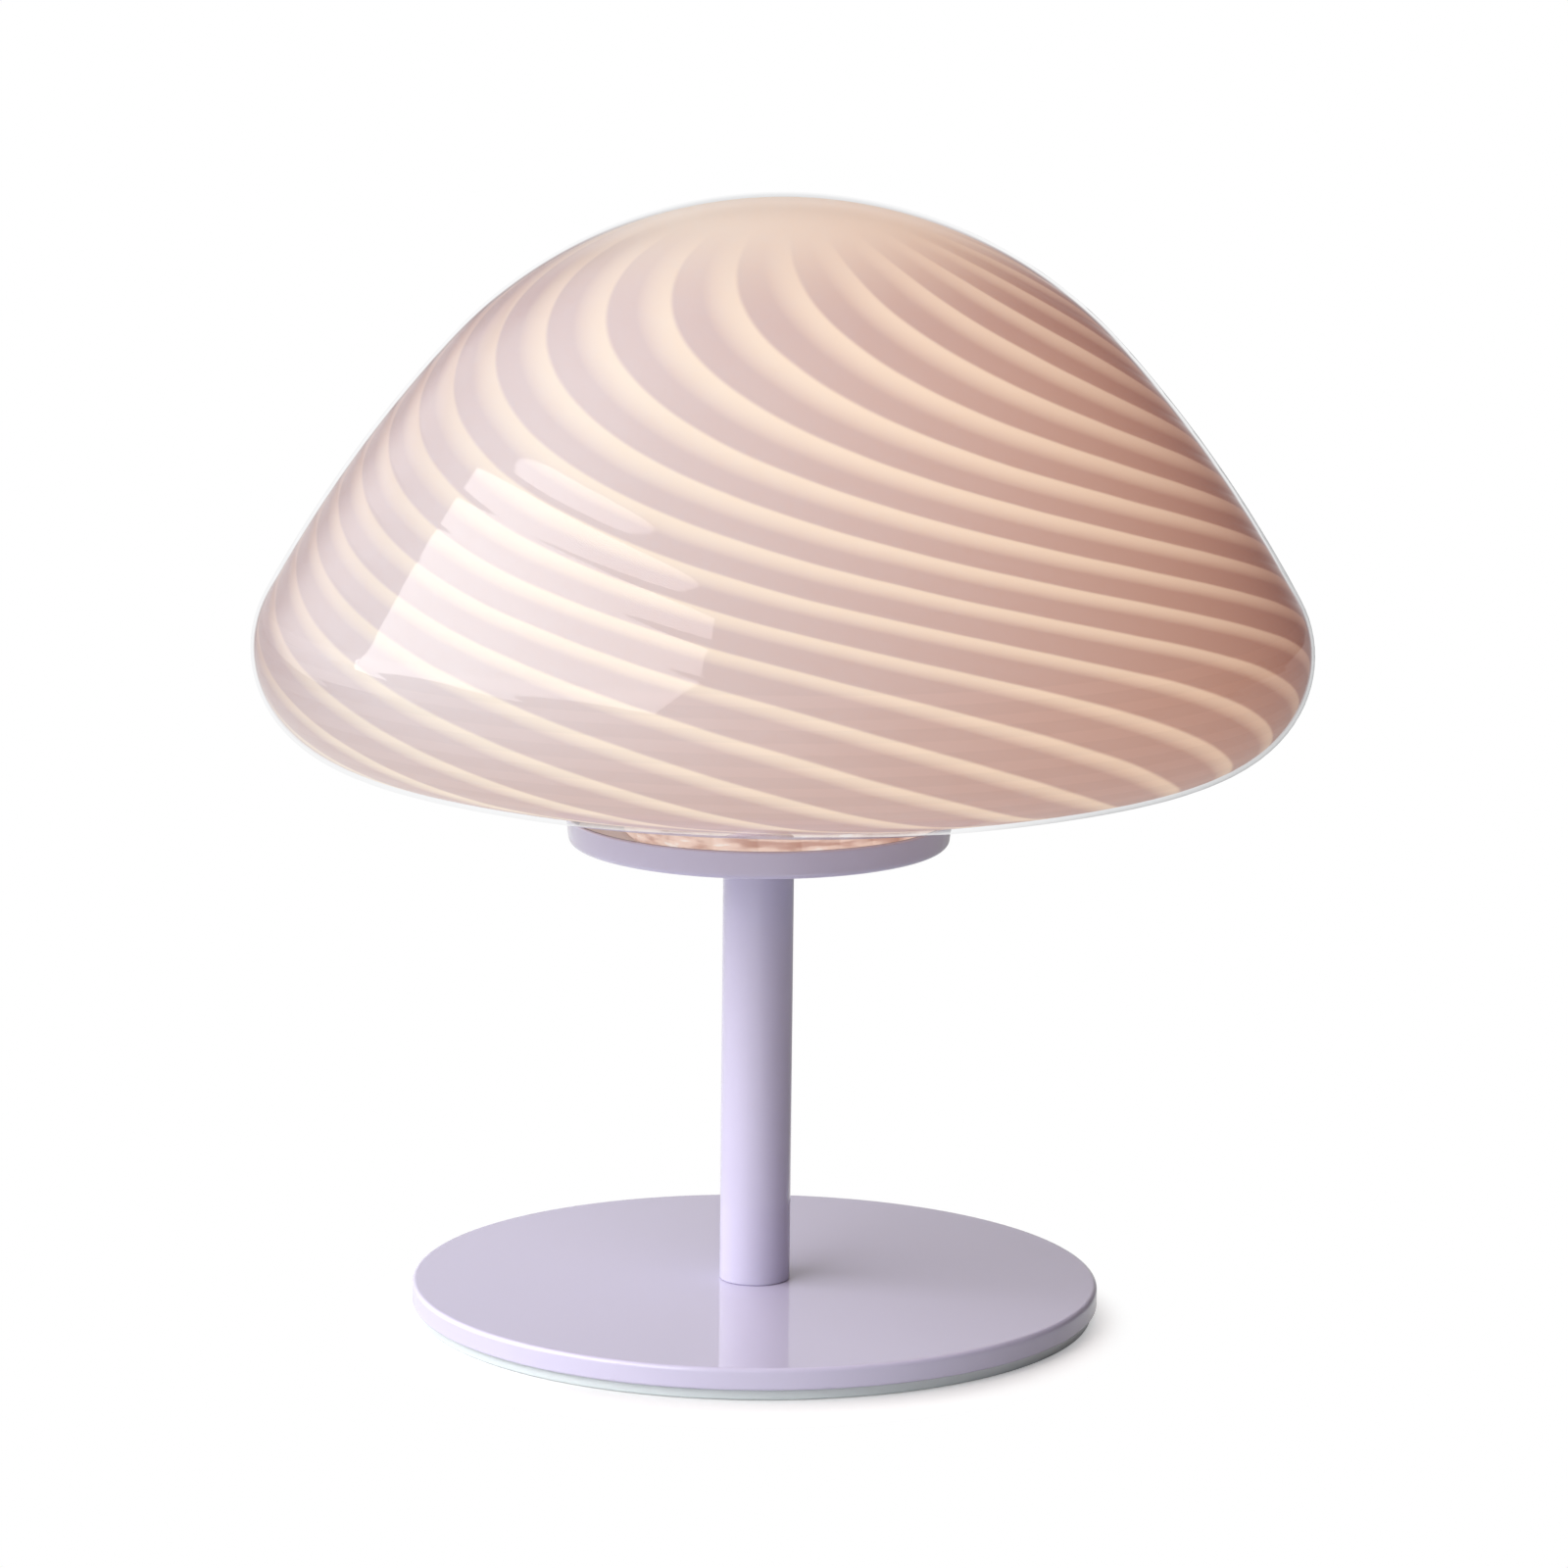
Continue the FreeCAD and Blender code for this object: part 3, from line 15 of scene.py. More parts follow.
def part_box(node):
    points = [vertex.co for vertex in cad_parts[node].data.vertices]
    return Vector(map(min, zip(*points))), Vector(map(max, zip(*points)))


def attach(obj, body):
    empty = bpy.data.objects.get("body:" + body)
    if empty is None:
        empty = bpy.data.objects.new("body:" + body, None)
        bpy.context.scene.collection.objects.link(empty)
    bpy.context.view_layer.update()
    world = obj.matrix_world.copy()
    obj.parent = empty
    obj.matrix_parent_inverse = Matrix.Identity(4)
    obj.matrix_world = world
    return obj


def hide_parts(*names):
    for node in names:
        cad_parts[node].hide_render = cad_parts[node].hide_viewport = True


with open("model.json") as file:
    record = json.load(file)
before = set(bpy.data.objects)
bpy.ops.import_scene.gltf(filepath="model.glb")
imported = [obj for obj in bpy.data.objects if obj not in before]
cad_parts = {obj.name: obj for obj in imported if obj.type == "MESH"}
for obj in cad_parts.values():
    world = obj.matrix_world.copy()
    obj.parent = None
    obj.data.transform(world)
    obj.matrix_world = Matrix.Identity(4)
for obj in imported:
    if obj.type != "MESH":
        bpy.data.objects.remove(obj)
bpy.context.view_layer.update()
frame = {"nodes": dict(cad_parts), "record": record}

MM = 0.001
scene = bpy.context.scene

# %% [markdown]
# Materials and meshes are both made by node trees here. A node tree is easiest to read as
# arithmetic, so a socket is wrapped in a small class that knows +, -, * and /: an expression on
# such values adds its Math nodes. Every other node comes from one method, add, which takes the
# node's type, its settings and what goes into its sockets.

# %% A socket that does arithmetic
class Value:
    """An output socket that takes part in arithmetic by adding Math nodes."""

    def __init__(self, graph, socket):
        self.graph = graph
        self.socket = socket

    def __add__(self, other):
        return self.graph.maths("ADD", self, other)

    def __sub__(self, other):
        return self.graph.maths("SUBTRACT", self, other)

    def __rsub__(self, other):
        return self.graph.maths("SUBTRACT", other, self)

    def __mul__(self, other):
        return self.graph.maths("MULTIPLY", self, other)

    def __truediv__(self, other):
        return self.graph.maths("DIVIDE", self, other)

    def __pow__(self, other):
        return self.graph.maths("POWER", self, other)

    __radd__ = __add__
    __rmul__ = __mul__


class Graph:
    """A node tree, of a material, of the world or of geometry."""

    def __init__(self, tree):
        self.tree = tree

    def add(self, kind, settings=None, sockets=None):
        """Add a node: its settings first, then the values or links of its sockets."""
        node = self.tree.nodes.new(kind)
        for name, setting in (settings or {}).items():
            if name == "stops":
                ramp = node.color_ramp.elements
                ramp[0].position, ramp[0].color = setting[0]
                ramp[1].position, ramp[1].color = setting[-1]
                for position, colour in setting[1:-1]:
                    ramp.new(position).color = colour
            else:
                setattr(node, name, setting)
        for name, value in (sockets or {}).items():
            if isinstance(value, Value):
                self.tree.links.new(value.socket, node.inputs[name])
            else:
                node.inputs[name].default_value = value
        return node

    def read(self, output, kind, settings=None, sockets=None):
        """Add a node and read one of its outputs."""
        return Value(self, self.add(kind, settings, sockets).outputs[output])

    def maths(self, operation, *operands):
        """One Math node."""
        return self.read(0, "ShaderNodeMath", {"operation": operation}, dict(enumerate(operands)))

    def vector(self, operation, *operands):
        """One Vector Math node, with a vector for its result."""
        settings = {"operation": operation}
        return self.read("Vector", "ShaderNodeVectorMath", settings, dict(enumerate(operands)))

    def parts(self, vector):
        """The x, y and z of a vector."""
        node = self.add("ShaderNodeSeparateXYZ", sockets={0: vector})
        return [Value(self, output) for output in node.outputs]

    def smooth(self, value, start, end):
        """0 below start, 1 above end, with a smooth rise between."""
        settings = {"interpolation_type": "SMOOTHSTEP"}
        sockets = {"Value": value, "From Min": start, "From Max": end}
        return self.read("Result", "ShaderNodeMapRange", settings, sockets)

    def blend(self, share, low, high):
        """A colour between two colours."""
        return self.read(2, "ShaderNodeMix", {"data_type": "RGBA"}, {0: share, 6: low, 7: high})

    def mix(self, share, first, second):
        """A shader between two shaders."""
        return self.read(0, "ShaderNodeMixShader", None, {0: share, 1: first, 2: second})

    def noise(self, place, scale, detail=2.0):
        """Soft noise from 0 to 1 about 0.5, scale lumps to the metre."""
        sockets = {"Vector": place, "Scale": scale, "Detail": detail, "Roughness": 0.5}
        return self.read("Fac", "ShaderNodeTexNoise", None, sockets)


print("a value answers to + - * / and **, and a graph adds the nodes")

# %% [markdown]
# Colours are easier to judge on a screen's scale of 0 to 255 than as light. Light is what the
# shaders work in, so each colour is turned into light once, here.

# %% Colours
def light(red, green, blue):
    """A screen colour, 0 to 255, as the amounts of light that the shaders mix."""
    shares = [level / 255 for level in (red, green, blue)]
    bright = [
        share / 12.92 if share <= 0.04045 else ((share + 0.055) / 1.055) ** 2.4
        for share in shares
    ]
    return (*bright, 1.0)


def grey(level):
    """An even grey by its amount of light."""
    return (level, level, level, 1.0)


print("mid grey on a screen is", round(light(128, 128, 128)[0], 3), "of white in light")

# %% [markdown]
# ## The studio
# The lamp stands on pale paper. One large soft light stands to its left and above, a pale wall
# to its front left throws light back at a low angle, and some light comes down from behind. The
# camera looks slightly down with a long lens. The glass shows the soft light's outline, so its
# size and place come from there.

# %% Camera
CAMERA_PLACE = (0.005586, -1.6233, 0.43639)
CAMERA_PITCH = math.radians(79.09)
CAMERA_ROLL = math.radians(0.62)
CAMERA_LENS = 166.65

camera = bpy.data.objects.new("camera", bpy.data.cameras.new("camera"))
camera.data.lens = CAMERA_LENS
camera.data.sensor_width = 36
camera.matrix_world = (
    Matrix.Translation(CAMERA_PLACE)
    @ Matrix.Rotation(CAMERA_PITCH, 4, "X")
    @ Matrix.Rotation(CAMERA_ROLL, 4, "Z")
)
scene.collection.objects.link(camera)
scene.camera = camera
scene.view_settings.view_transform = "Standard"
print("camera", round(Vector(CAMERA_PLACE).length, 3), "m from the lamp's foot")

# %% Soft light
KEY_PLACE = (-0.737, -0.257, 0.703)
KEY_ACROSS = (0.600, -0.799, 0.018)
KEY_UP = (0.240, 0.213, 0.947)
KEY_WIDTH = 1.376
KEY_HEIGHT = 0.620
KEY_POWER = 13.7


def add_soft_light(name, place, across, up, width, height, power):
    """A rectangular lamp. across and up are the directions of its width and its height."""
    lamp = bpy.data.lights.new(name, "AREA")
    lamp.shape = "RECTANGLE"
    lamp.size = width
    lamp.size_y = height
    lamp.energy = power
    across = Vector(across).normalized()
    back = across.cross(Vector(up)).normalized()
    turn = Matrix((across, back.cross(across), back)).transposed()
    holder = bpy.data.objects.new(name, lamp)
    holder.matrix_world = Matrix.Translation(place) @ turn.to_4x4()
    scene.collection.objects.link(holder)
    glow = power / (math.pi * width * height)
    print(f"{name}: {width:.2f} x {height:.2f} m, brightness {glow:.2f}")


add_soft_light(
    "key_light", KEY_PLACE, KEY_ACROSS, KEY_UP, KEY_WIDTH, KEY_HEIGHT, KEY_POWER)

# %% [markdown]
# The room is the world's colour, and a world can answer each kind of ray with another light. To
# the camera and through clear glass it is white. In a mirror it is a studio: white at the horizon
# and grey a little higher, pale to the left, dark overhead and to the right, with one bright
# patch high on the left behind the lamp. That is what glossy glass and lacquer need: their shine
# is only the room. The light that the room throws comes from two soft patches and a faint fill.
# A picture of a studio could do this too, but a few greys are enough. A pair of numbers says
# how far up, left or right a grey sets in and where it is full, as a part of the whole way.

# %% The room
FILL = (0.034, 0.035, 0.042)
WALL = 1.45
WALL_WAY = (-0.683, -0.683, 0.259)
BEHIND = 0.90
BEHIND_WAY = (0.0, 0.574, 0.819)
PATCH_EDGE = 0.65
PATCH_FULL = 0.98
HORIZON_LEVEL = 0.95
ABOVE_LEVEL = 0.53
ABOVE_FROM = (0.0, 0.2)
LEFT_LEVEL = 1.00
LEFT_FROM = (0.10, 0.45)
CEILING_LEVEL = 0.15
CEILING_FROM = (0.28, 0.45)
RIGHT_LEVEL = 0.15
RIGHT_FROM = (0.06, 0.50)
BRIGHT_PATCH = 1.90
BRIGHT_PATCH_WAY = (-0.80, 0.30, 0.52)

world = bpy.data.worlds.new("room")
world.use_nodes = True
scene.world = world
room = Graph(world.node_tree)
ray = room.add("ShaderNodeLightPath").outputs
way = Value(room, room.add("ShaderNodeTexCoord").outputs["Generated"])
rightward, _, upward = room.parts(way)


def patch(direction, level):
    """A soft round patch of light in one direction of the room."""
    nearness = room.read("Value", "ShaderNodeVectorMath", {"operation": "DOT_PRODUCT"}, {
        0: way, 1: direction})
    return room.blend(room.smooth(nearness, PATCH_EDGE, PATCH_FULL), grey(0.0), grey(level))


thrown = room.vector("ADD", patch(WALL_WAY, WALL), patch(BEHIND_WAY, BEHIND))
thrown = room.vector("ADD", thrown, FILL)
mirrored = grey(HORIZON_LEVEL)
for amount, (start, end), level in (
    (upward, ABOVE_FROM, ABOVE_LEVEL), (0.0 - rightward, LEFT_FROM, LEFT_LEVEL),
    (upward, CEILING_FROM, CEILING_LEVEL), (rightward, RIGHT_FROM, RIGHT_LEVEL),
):
    mirrored = room.blend(room.smooth(amount, start, end), mirrored, grey(level))
mirrored = room.vector("ADD", mirrored, patch(BRIGHT_PATCH_WAY, BRIGHT_PATCH))
seen = room.maths(
    "MAXIMUM", Value(room, ray["Is Camera Ray"]), Value(room, ray["Is Transmission Ray"]))
dim = room.blend(Value(room, ray["Is Glossy Ray"]), thrown, mirrored)
shown = room.blend(seen, dim, grey(1.0))
backdrop = world.node_tree.nodes["Background"]
world.node_tree.links.new(shown.socket, backdrop.inputs["Color"])
print("room: wall", WALL, "behind", BEHIND, "mirrored horizon", HORIZON_LEVEL, "above", ABOVE_LEVEL)

# %% [markdown]
# The paper is one flat sheet, white to the camera everywhere but near the base, where it keeps
# the soft shadow that grounds the lamp. In front, where the pad touches it, a painted shadow also
# darkens the paper's own grey. The lamp's gloss sees pale paper too, but not in that shadow.
# Towards the right the paper is painted a darker grey, both in mirrors and in the light that it
# bounces: painted shade for the dark right side of the studio. The paper lies a hair lower than
# the pad, so that their faces don't fight. Seen from below it is clear, and it glows under the
# pad, which shows the underside.

# %% Floor
FLOOR_REACH = 3.0
PAPER_DROP = 0.1 * MM
SHADOW_CENTRE = (-3.0 * MM, -9.0 * MM)
SHADOW_EDGE = (76.0 * MM, 91.0 * MM)
SHADOW_LIFT = 0.30
# Painted shadow: the paper's own grey is darker in front, near the pad.
PAINTED_SHADOW_REACH = (77.0 * MM, 104.0 * MM)
PAINTED_SHADOW_FRONT = (30.0 * MM, 75.0 * MM)
PAINTED_SHADOW_GREY = 0.58
# Painted shade: the paper turns a darker grey to the right, for bounced light and in mirrors.
PAINTED_SHADE_RIGHT = (50.0 * MM, 120.0 * MM)
BOUNCE_GREY_AND_PAINTED_SHADE = (0.80, 0.56)
MIRROR_GREY_AND_PAINTED_SHADE = (0.90, 0.38)
UNDER_PAD = (75.8 * MM, 76.8 * MM)

bpy.ops.mesh.primitive_plane_add(size=2 * FLOOR_REACH, location=(0.0, 0.0, -PAPER_DROP))
floor = bpy.context.object
floor.name = "paper_floor"

paper = bpy.data.materials.new("paper")
paper.use_nodes = True
paper.node_tree.nodes.clear()
sheet = Graph(paper.node_tree)
place = Value(sheet, sheet.add("ShaderNodeTexCoord").outputs["Object"])
x, y, _ = sheet.parts(place)
reach = (x * x + y * y) ** 0.5
away = ((x - SHADOW_CENTRE[0]) ** 2.0 + (y - SHADOW_CENTRE[1]) ** 2.0) ** 0.5
beyond = sheet.smooth(away, *SHADOW_EDGE)
# painted shadow: the paper's grey darkens in front of the pad
painted_contact_shadow = (1.0 - sheet.smooth(reach, *PAINTED_SHADOW_REACH)) * sheet.smooth(0.0 - y, *PAINTED_SHADOW_FRONT)
# painted shade: darker paper towards the right
painted_right_shade = sheet.smooth(x, *PAINTED_SHADE_RIGHT)
under = 1.0 - sheet.smooth(reach, *UNDER_PAD)
path = sheet.add("ShaderNodeLightPath").outputs


def paper_shader(kind, colour):
    """A diffuse, glowing or clear shader in one colour."""
    return sheet.read(0, f"ShaderNode{kind}", None, {"Color": colour})


def greys(share, low, high):
    """A grey between two."""
    return sheet.blend(share, grey(low), grey(high))


white = paper_shader("Emission", grey(1.0))
lift = paper_shader("Emission", grey(SHADOW_LIFT))
clear = paper_shader("BsdfTransparent", grey(1.0))
shadowed = paper_shader("BsdfDiffuse", greys(painted_contact_shadow, 1.0, PAINTED_SHADOW_GREY))
bouncing = paper_shader("BsdfDiffuse", greys(painted_right_shade, *BOUNCE_GREY_AND_PAINTED_SHADE))
in_mirrors = paper_shader("Emission", greys(painted_right_shade, *MIRROR_GREY_AND_PAINTED_SHADE))
near = sheet.read(0, "ShaderNodeAddShader", None, {0: shadowed, 1: lift})
to_camera = sheet.mix(beyond, near, white)
to_lamp = sheet.mix(Value(sheet, path["Is Glossy Ray"]) * beyond, bouncing, in_mirrors)
to_lamp = sheet.mix(under, to_lamp, white)
from_above = sheet.mix(Value(sheet, path["Is Camera Ray"]), to_lamp, to_camera)
result = sheet.mix(sheet.read("Backfacing", "ShaderNodeNewGeometry"), from_above, clear)
sheet.add("ShaderNodeOutputMaterial", None, {"Surface": result})
floor.data.materials.append(paper)
print("floor: shadow kept to", SHADOW_EDGE[1], "m from", SHADOW_CENTRE)

# %% [markdown]
# ## Finishes
# Every finish starts the same way: an empty tree, and the place on the piece that its pattern
# reads. Most close the same way too, with a Principled shader. What is the same all over goes to
# the shader's own sockets as a plain value, and only what changes over the surface is a link.

# %% A new finish
def new_finish(name):
    """An empty material as a graph, with the place on the piece."""
    material = bpy.data.materials.new(name)
    material.use_nodes = True
    material.node_tree.nodes.clear()
    graph = Graph(material.node_tree)
    place = Value(graph, graph.add("ShaderNodeTexCoord").outputs["Object"])
    return material, graph, place


def finish_with(graph, sockets):
    """Close a finish with a Principled shader."""
    shader = graph.read("BSDF", "ShaderNodeBsdfPrincipled", None, sockets)
    graph.add("ShaderNodeOutputMaterial", None, {"Surface": shader})


def bumped(graph, height, depth):
    """A normal that follows a height from 0 to 1, depth metres deep."""
    sockets = {"Height": height, "Strength": 1.0, "Distance": depth}
    return graph.read("Normal", "ShaderNodeBump", None, sockets)


print("patterns read places in metres, so a scale of 1000 is one lump to the millimetre")

# %% [markdown]
# The metal is powder-lacquered in a pale lilac: a coloured coat that has flowed out almost flat
# and then a clear gloss. One Principled shader holds both, the colour as its base and the gloss
# as its coat. Up close it has the faint long waves of flowed lacquer, and its colour drifts by a
# hair where the coat is thicker. The cord's bush is moulded in the same colour, less glossy.

# %% Lilac lacquer
LILAC = (0.585, 0.551, 0.728, 1.0)
LILAC_THIN = (0.608, 0.569, 0.741, 1.0)


def lacquer(name, gloss_roughness, wave):
    """The lilac lacquer, on metal or moulded in plastic."""
    material, graph, place = new_finish(name)
    cloud = graph.noise(place, 22.0, 3.0)
    flow = graph.noise(place, 160.0, 2.0)
    speck = graph.noise(place, 2600.0, 1.0)
    tone = graph.blend(cloud, LILAC, LILAC_THIN)
    finish_with(graph, {
        "Base Color": tone,
        "Roughness": 0.40 + 0.10 * speck,
        "IOR": 1.45,
        "Coat Weight": 1.0,
        "Coat Roughness": gloss_roughness,
        "Coat IOR": 1.42,
        "Normal": bumped(graph, flow, wave),
    })
    return material


lilac_lacquer = lacquer("lilac_lacquer", 0.05, 0.004 * MM)
lilac_plastic = lacquer("lilac_plastic", 0.16, 0.008 * MM)
print("lilac, as light:", LILAC[:3])

# %% [markdown]
# Metals differ in colour, in how rough they are, and in the way their fine lines run. One
# function makes them all. The lines could be a picture, but that needs unrolled surfaces: a
# noise that is squeezed one way needs only the place. Turned parts have their lines round the
# axis, so the noise is squeezed along Z, and a drawn wire's run along it, so it is squeezed
# across.

# %% Metals
TURNED = (900.0, 900.0, 5200.0)
DRAWN = (4000.0, 4000.0, 600.0)


def metal(name, bright, dull, roughness, grain=TURNED):
    """A bare or plated metal with fine tool lines."""
    material, graph, place = new_finish(name)
    squeezed = graph.vector("MULTIPLY", place, grain)
    lines = graph.noise(squeezed, 1.0, 3.0)
    stain = graph.noise(place, 140.0, 2.0)
    finish_with(graph, {
        "Base Color": graph.blend(stain, light(*bright), light(*dull)),
        "Metallic": 1.0,
        "Roughness": roughness - 0.10 + 0.20 * lines,
        "Normal": bumped(graph, lines, 0.006 * MM),
    })
    return material


zinc_steel = metal("zinc_steel", (206, 208, 214), (176, 180, 190), 0.34)
tinned_brass = metal("tinned_brass", (214, 210, 200), (190, 182, 166), 0.30)
brass = metal("brass", (220, 184, 112), (192, 150, 84), 0.28)
pin_wire = metal("pin_wire", (208, 208, 208), (184, 182, 180), 0.22, DRAWN)
print("metals:", zinc_steel.name, tinned_brass.name, brass.name, pin_wire.name)

# %% [markdown]
# Plain materials that scatter light share one function as well: two close tones in a soft cloud,
# a grain of their own scale, and a gloss. That is enough for ceramic, satin lacquer, moulded
# plastic, braided sleeves and rubber, which here are all small or hidden under the shade.

# %% Ceramic, rubber, plastics and satin lacquer
def matt(name, tone, second, roughness, grain, depth, coat=0.0):
    """A ceramic, rubber, plastic or paint with a fine grain."""
    material, graph, place = new_finish(name)
    cloud = graph.noise(place, grain / 6, 3.0)
    fine = graph.noise(place, grain, 2.0)
    finish_with(graph, {
        "Base Color": graph.blend(cloud, light(*tone), light(*second)),
        "Roughness": roughness - 0.06 + 0.12 * fine,
        "Coat Weight": coat,
        "Coat Roughness": 0.12,
        "Normal": bumped(graph, fine, depth),
    })
    return material


FINE = 0.01 * MM
COARSE = 0.02 * MM
BRAIDED = 0.05 * MM

white_ceramic = matt("white_ceramic", (238, 234, 226), (228, 222, 212), 0.62, 2400.0, COARSE)
white_lacquer = matt("white_lacquer", (238, 238, 238), (232, 232, 233), 0.40, 1500.0, FINE, 0.3)
white_plastic = matt("white_plastic", (236, 236, 232), (229, 228, 224), 0.45, 1800.0, FINE)
white_insulation = matt("white_insulation", (232, 230, 224), (214, 210, 200), 0.70, 5200.0, BRAIDED)
brown_insulation = matt("brown_insulation", (104, 62, 40), (92, 52, 34), 0.42, 1600.0, FINE)
blue_insulation = matt("blue_insulation", (40, 92, 168), (34, 80, 152), 0.42, 1600.0, FINE)
clear_silicone = matt("clear_silicone", (222, 222, 226), (208, 208, 214), 0.50, 900.0, COARSE)
clear_sleeve = matt("clear_sleeve", (216, 208, 190), (204, 196, 178), 0.35, 900.0, FINE, 0.6)
print("finishes so far:", len(bpy.data.materials))

# %% [markdown]
# The earth lead's cover is green with a yellow stripe that runs round it. A ruled stripe needs no
# texture: it is a distance along a slanted way, cut into equal lengths and folded in the middle.

# %% Green and yellow lead
STRIPE_PITCH = 6.0 * MM
STRIPE_EDGE = (0.16, 0.19)
STRIPE_YELLOW = (214, 196, 40)
STRIPE_GREEN = (52, 128, 60)

green_yellow_insulation, graph, place = new_finish("green_yellow_insulation")
x, _, z = graph.parts(place)
turns = graph.maths("FRACT", (z + x) / STRIPE_PITCH)
band = graph.smooth(graph.maths("PINGPONG", turns, 0.5), *STRIPE_EDGE)
finish_with(graph, {
    "Base Color": graph.blend(band, light(*STRIPE_YELLOW), light(*STRIPE_GREEN)),
    "Roughness": 0.40 + 0.06 * graph.noise(place, 1600.0),
})
print("stripe: every", STRIPE_PITCH, "m")

# %% [markdown]
# The pad under the plate is clear soft plastic, seen edge on. Real refraction in a sheet this
# thin would be slow and noisy and show little more than the paper that it lies on, so it is a
# pale, slightly green body with a gloss.

# %% Clear pad
CLEAR_PLASTIC = (0.60, 0.66, 0.67, 1.0)
CLEAR_PLASTIC_PALE = (0.68, 0.73, 0.74, 1.0)

clear_pad, graph, place = new_finish("clear_pad")
haze = graph.noise(place, 60.0, 3.0)
scuff = graph.noise(place, 1400.0, 2.0)
finish_with(graph, {
    "Base Color": graph.blend(haze, CLEAR_PLASTIC, CLEAR_PLASTIC_PALE),
    "Roughness": 0.28 + 0.12 * scuff,
    "Coat Weight": 0.7,
    "Coat Roughness": 0.08,
    "Normal": bumped(graph, scuff, 0.006 * MM),
})
print("pad:", CLEAR_PLASTIC[:3])

# %% [markdown]
# ## Turned pieces
# Almost everything that shows on this lamp is turned or blown: one outline, taken once round an
# axis. Geometry Nodes do the turning. The outline is a chain of points that carries what the
# shaders need, and the tree lays a grid over it: rows follow the outline, columns go round.

# %% Outlines
SUPPORT = 0.25 * MM
ARC_STEP = math.radians(9)
CARRIED = ("fall", "swirl", "inside")


def bend(centre, radius, start, end, steps):
    """Points on an arc. An angle counts from straight up towards the outside."""
    angles = [start + (end - start) * index / steps for index in range(steps + 1)]
    return [(centre[0] + radius * math.sin(a), centre[1] + radius * math.cos(a)) for a in angles]


def rounded(corners):
    """An outline from corners (radius from the axis, height, rounding), with a support point
    on either side of each corner, so that flat faces stay flat under smooth shading."""
    points = []
    count = len(corners)
    for index, (x, z, size) in enumerate(corners):
        here = Vector((x, z))
        back = (Vector(corners[index - 1][:2]) - here).normalized()
        ahead = (Vector(corners[(index + 1) % count][:2]) - here).normalized()
        half = back.angle(ahead) / 2
        if x == 0.0:
            points.append(here)
            continue
        if size == 0.0:
            points += [here + back * SUPPORT, here, here + ahead * SUPPORT]
            continue
        reach = size / math.tan(half)
        middle = here + (back + ahead).normalized() * (size / math.sin(half))
        first = here + back * reach
        last = here + ahead * reach
        points.append(first + back * SUPPORT)
        steps = max(2, math.ceil((math.pi - 2 * half) / ARC_STEP))
        for step in range(steps + 1):
            spoke = (first - middle).lerp(last - middle, step / steps).normalized()
            points.append(middle + spoke * size)
        points.append(last + ahead * SUPPORT)
    return [tuple(point) for point in points]


def outline_mesh(name, points, closed, record=None):
    """A chain of points in the XZ plane. A piece that is open at the axis starts and ends on it.
    A record gives the values that a point carries."""
    chain = points + [points[0]] if closed else points
    mesh = bpy.data.meshes.new(name)
    mesh.from_pydata([(x, 0.0, z) for x, z in chain], [], [])
    for carried in CARRIED:
        mesh.attributes.new(carried, "FLOAT", "POINT")
    for index in range(len(chain)):
        for carried, value in zip(CARRIED, record(index) if record else ()):
            mesh.attributes[carried].data[index].value = value
    return mesh


print("roundings are drawn in steps of at most", round(math.degrees(ARC_STEP)), "degrees")

# %% [markdown]
# The tree's sizes are named inputs. It keeps what the outline says at each row on the mesh, for
# the shaders to read. Merge by Distance closes the seam and the poles, and the tree ends in
# Realize Instances and Set Material, which leave one plain mesh with its finishes.

# %% The turning tree
SEAM_REACH = 0.0005 * MM

turning = bpy.data.node_groups.new("turned_piece", "GeometryNodeTree")
for name, kind in (
    ("Outline", "Geometry"), ("Columns", "Int"), ("Axis X", "Float"), ("Finish", "Material"),
    ("Inner Finish", "Material"),
):
    turning.interface.new_socket(name, in_out="INPUT", socket_type=f"NodeSocket{kind}")
turning.interface.new_socket("Piece", in_out="OUTPUT", socket_type="NodeSocketGeometry")

lathe = Graph(turning)
inputs = {s.name: Value(lathe, s) for s in lathe.add("NodeGroupInput").outputs if s.name}
rows = lathe.read(
    "Point Count", "GeometryNodeAttributeDomainSize", None, {"Geometry": inputs["Outline"]})
grid = lathe.read("Mesh", "GeometryNodeMeshGrid", None, {
    "Size X": 1.0, "Size Y": 1.0, "Vertices X": inputs["Columns"] + 1.0, "Vertices Y": rows})
index = lathe.read(0, "GeometryNodeInputIndex")
column = lathe.maths("FLOOR", (index + 0.5) / rows)
row = index - column * rows


def outline_value(kind, value):
    """What the outline says at this row."""
    settings = {"data_type": kind}
    sockets = {"Geometry": inputs["Outline"], "Value": value, "Index": row}
    return lathe.read("Value", "GeometryNodeSampleIndex", settings, sockets)


def outline_attribute(kind, name):
    """A value that the outline carries under a name."""
    settings = {"data_type": kind}
    return lathe.read("Attribute", "GeometryNodeInputNamedAttribute", settings, {"Name": name})


spot = outline_value("FLOAT_VECTOR", lathe.read(0, "GeometryNodeInputPosition"))
swirl = outline_value("FLOAT", outline_attribute("FLOAT", "swirl"))
fall = outline_value("FLOAT", outline_attribute("FLOAT", "fall"))
inside = outline_value("FLOAT", outline_attribute("FLOAT", "inside"))

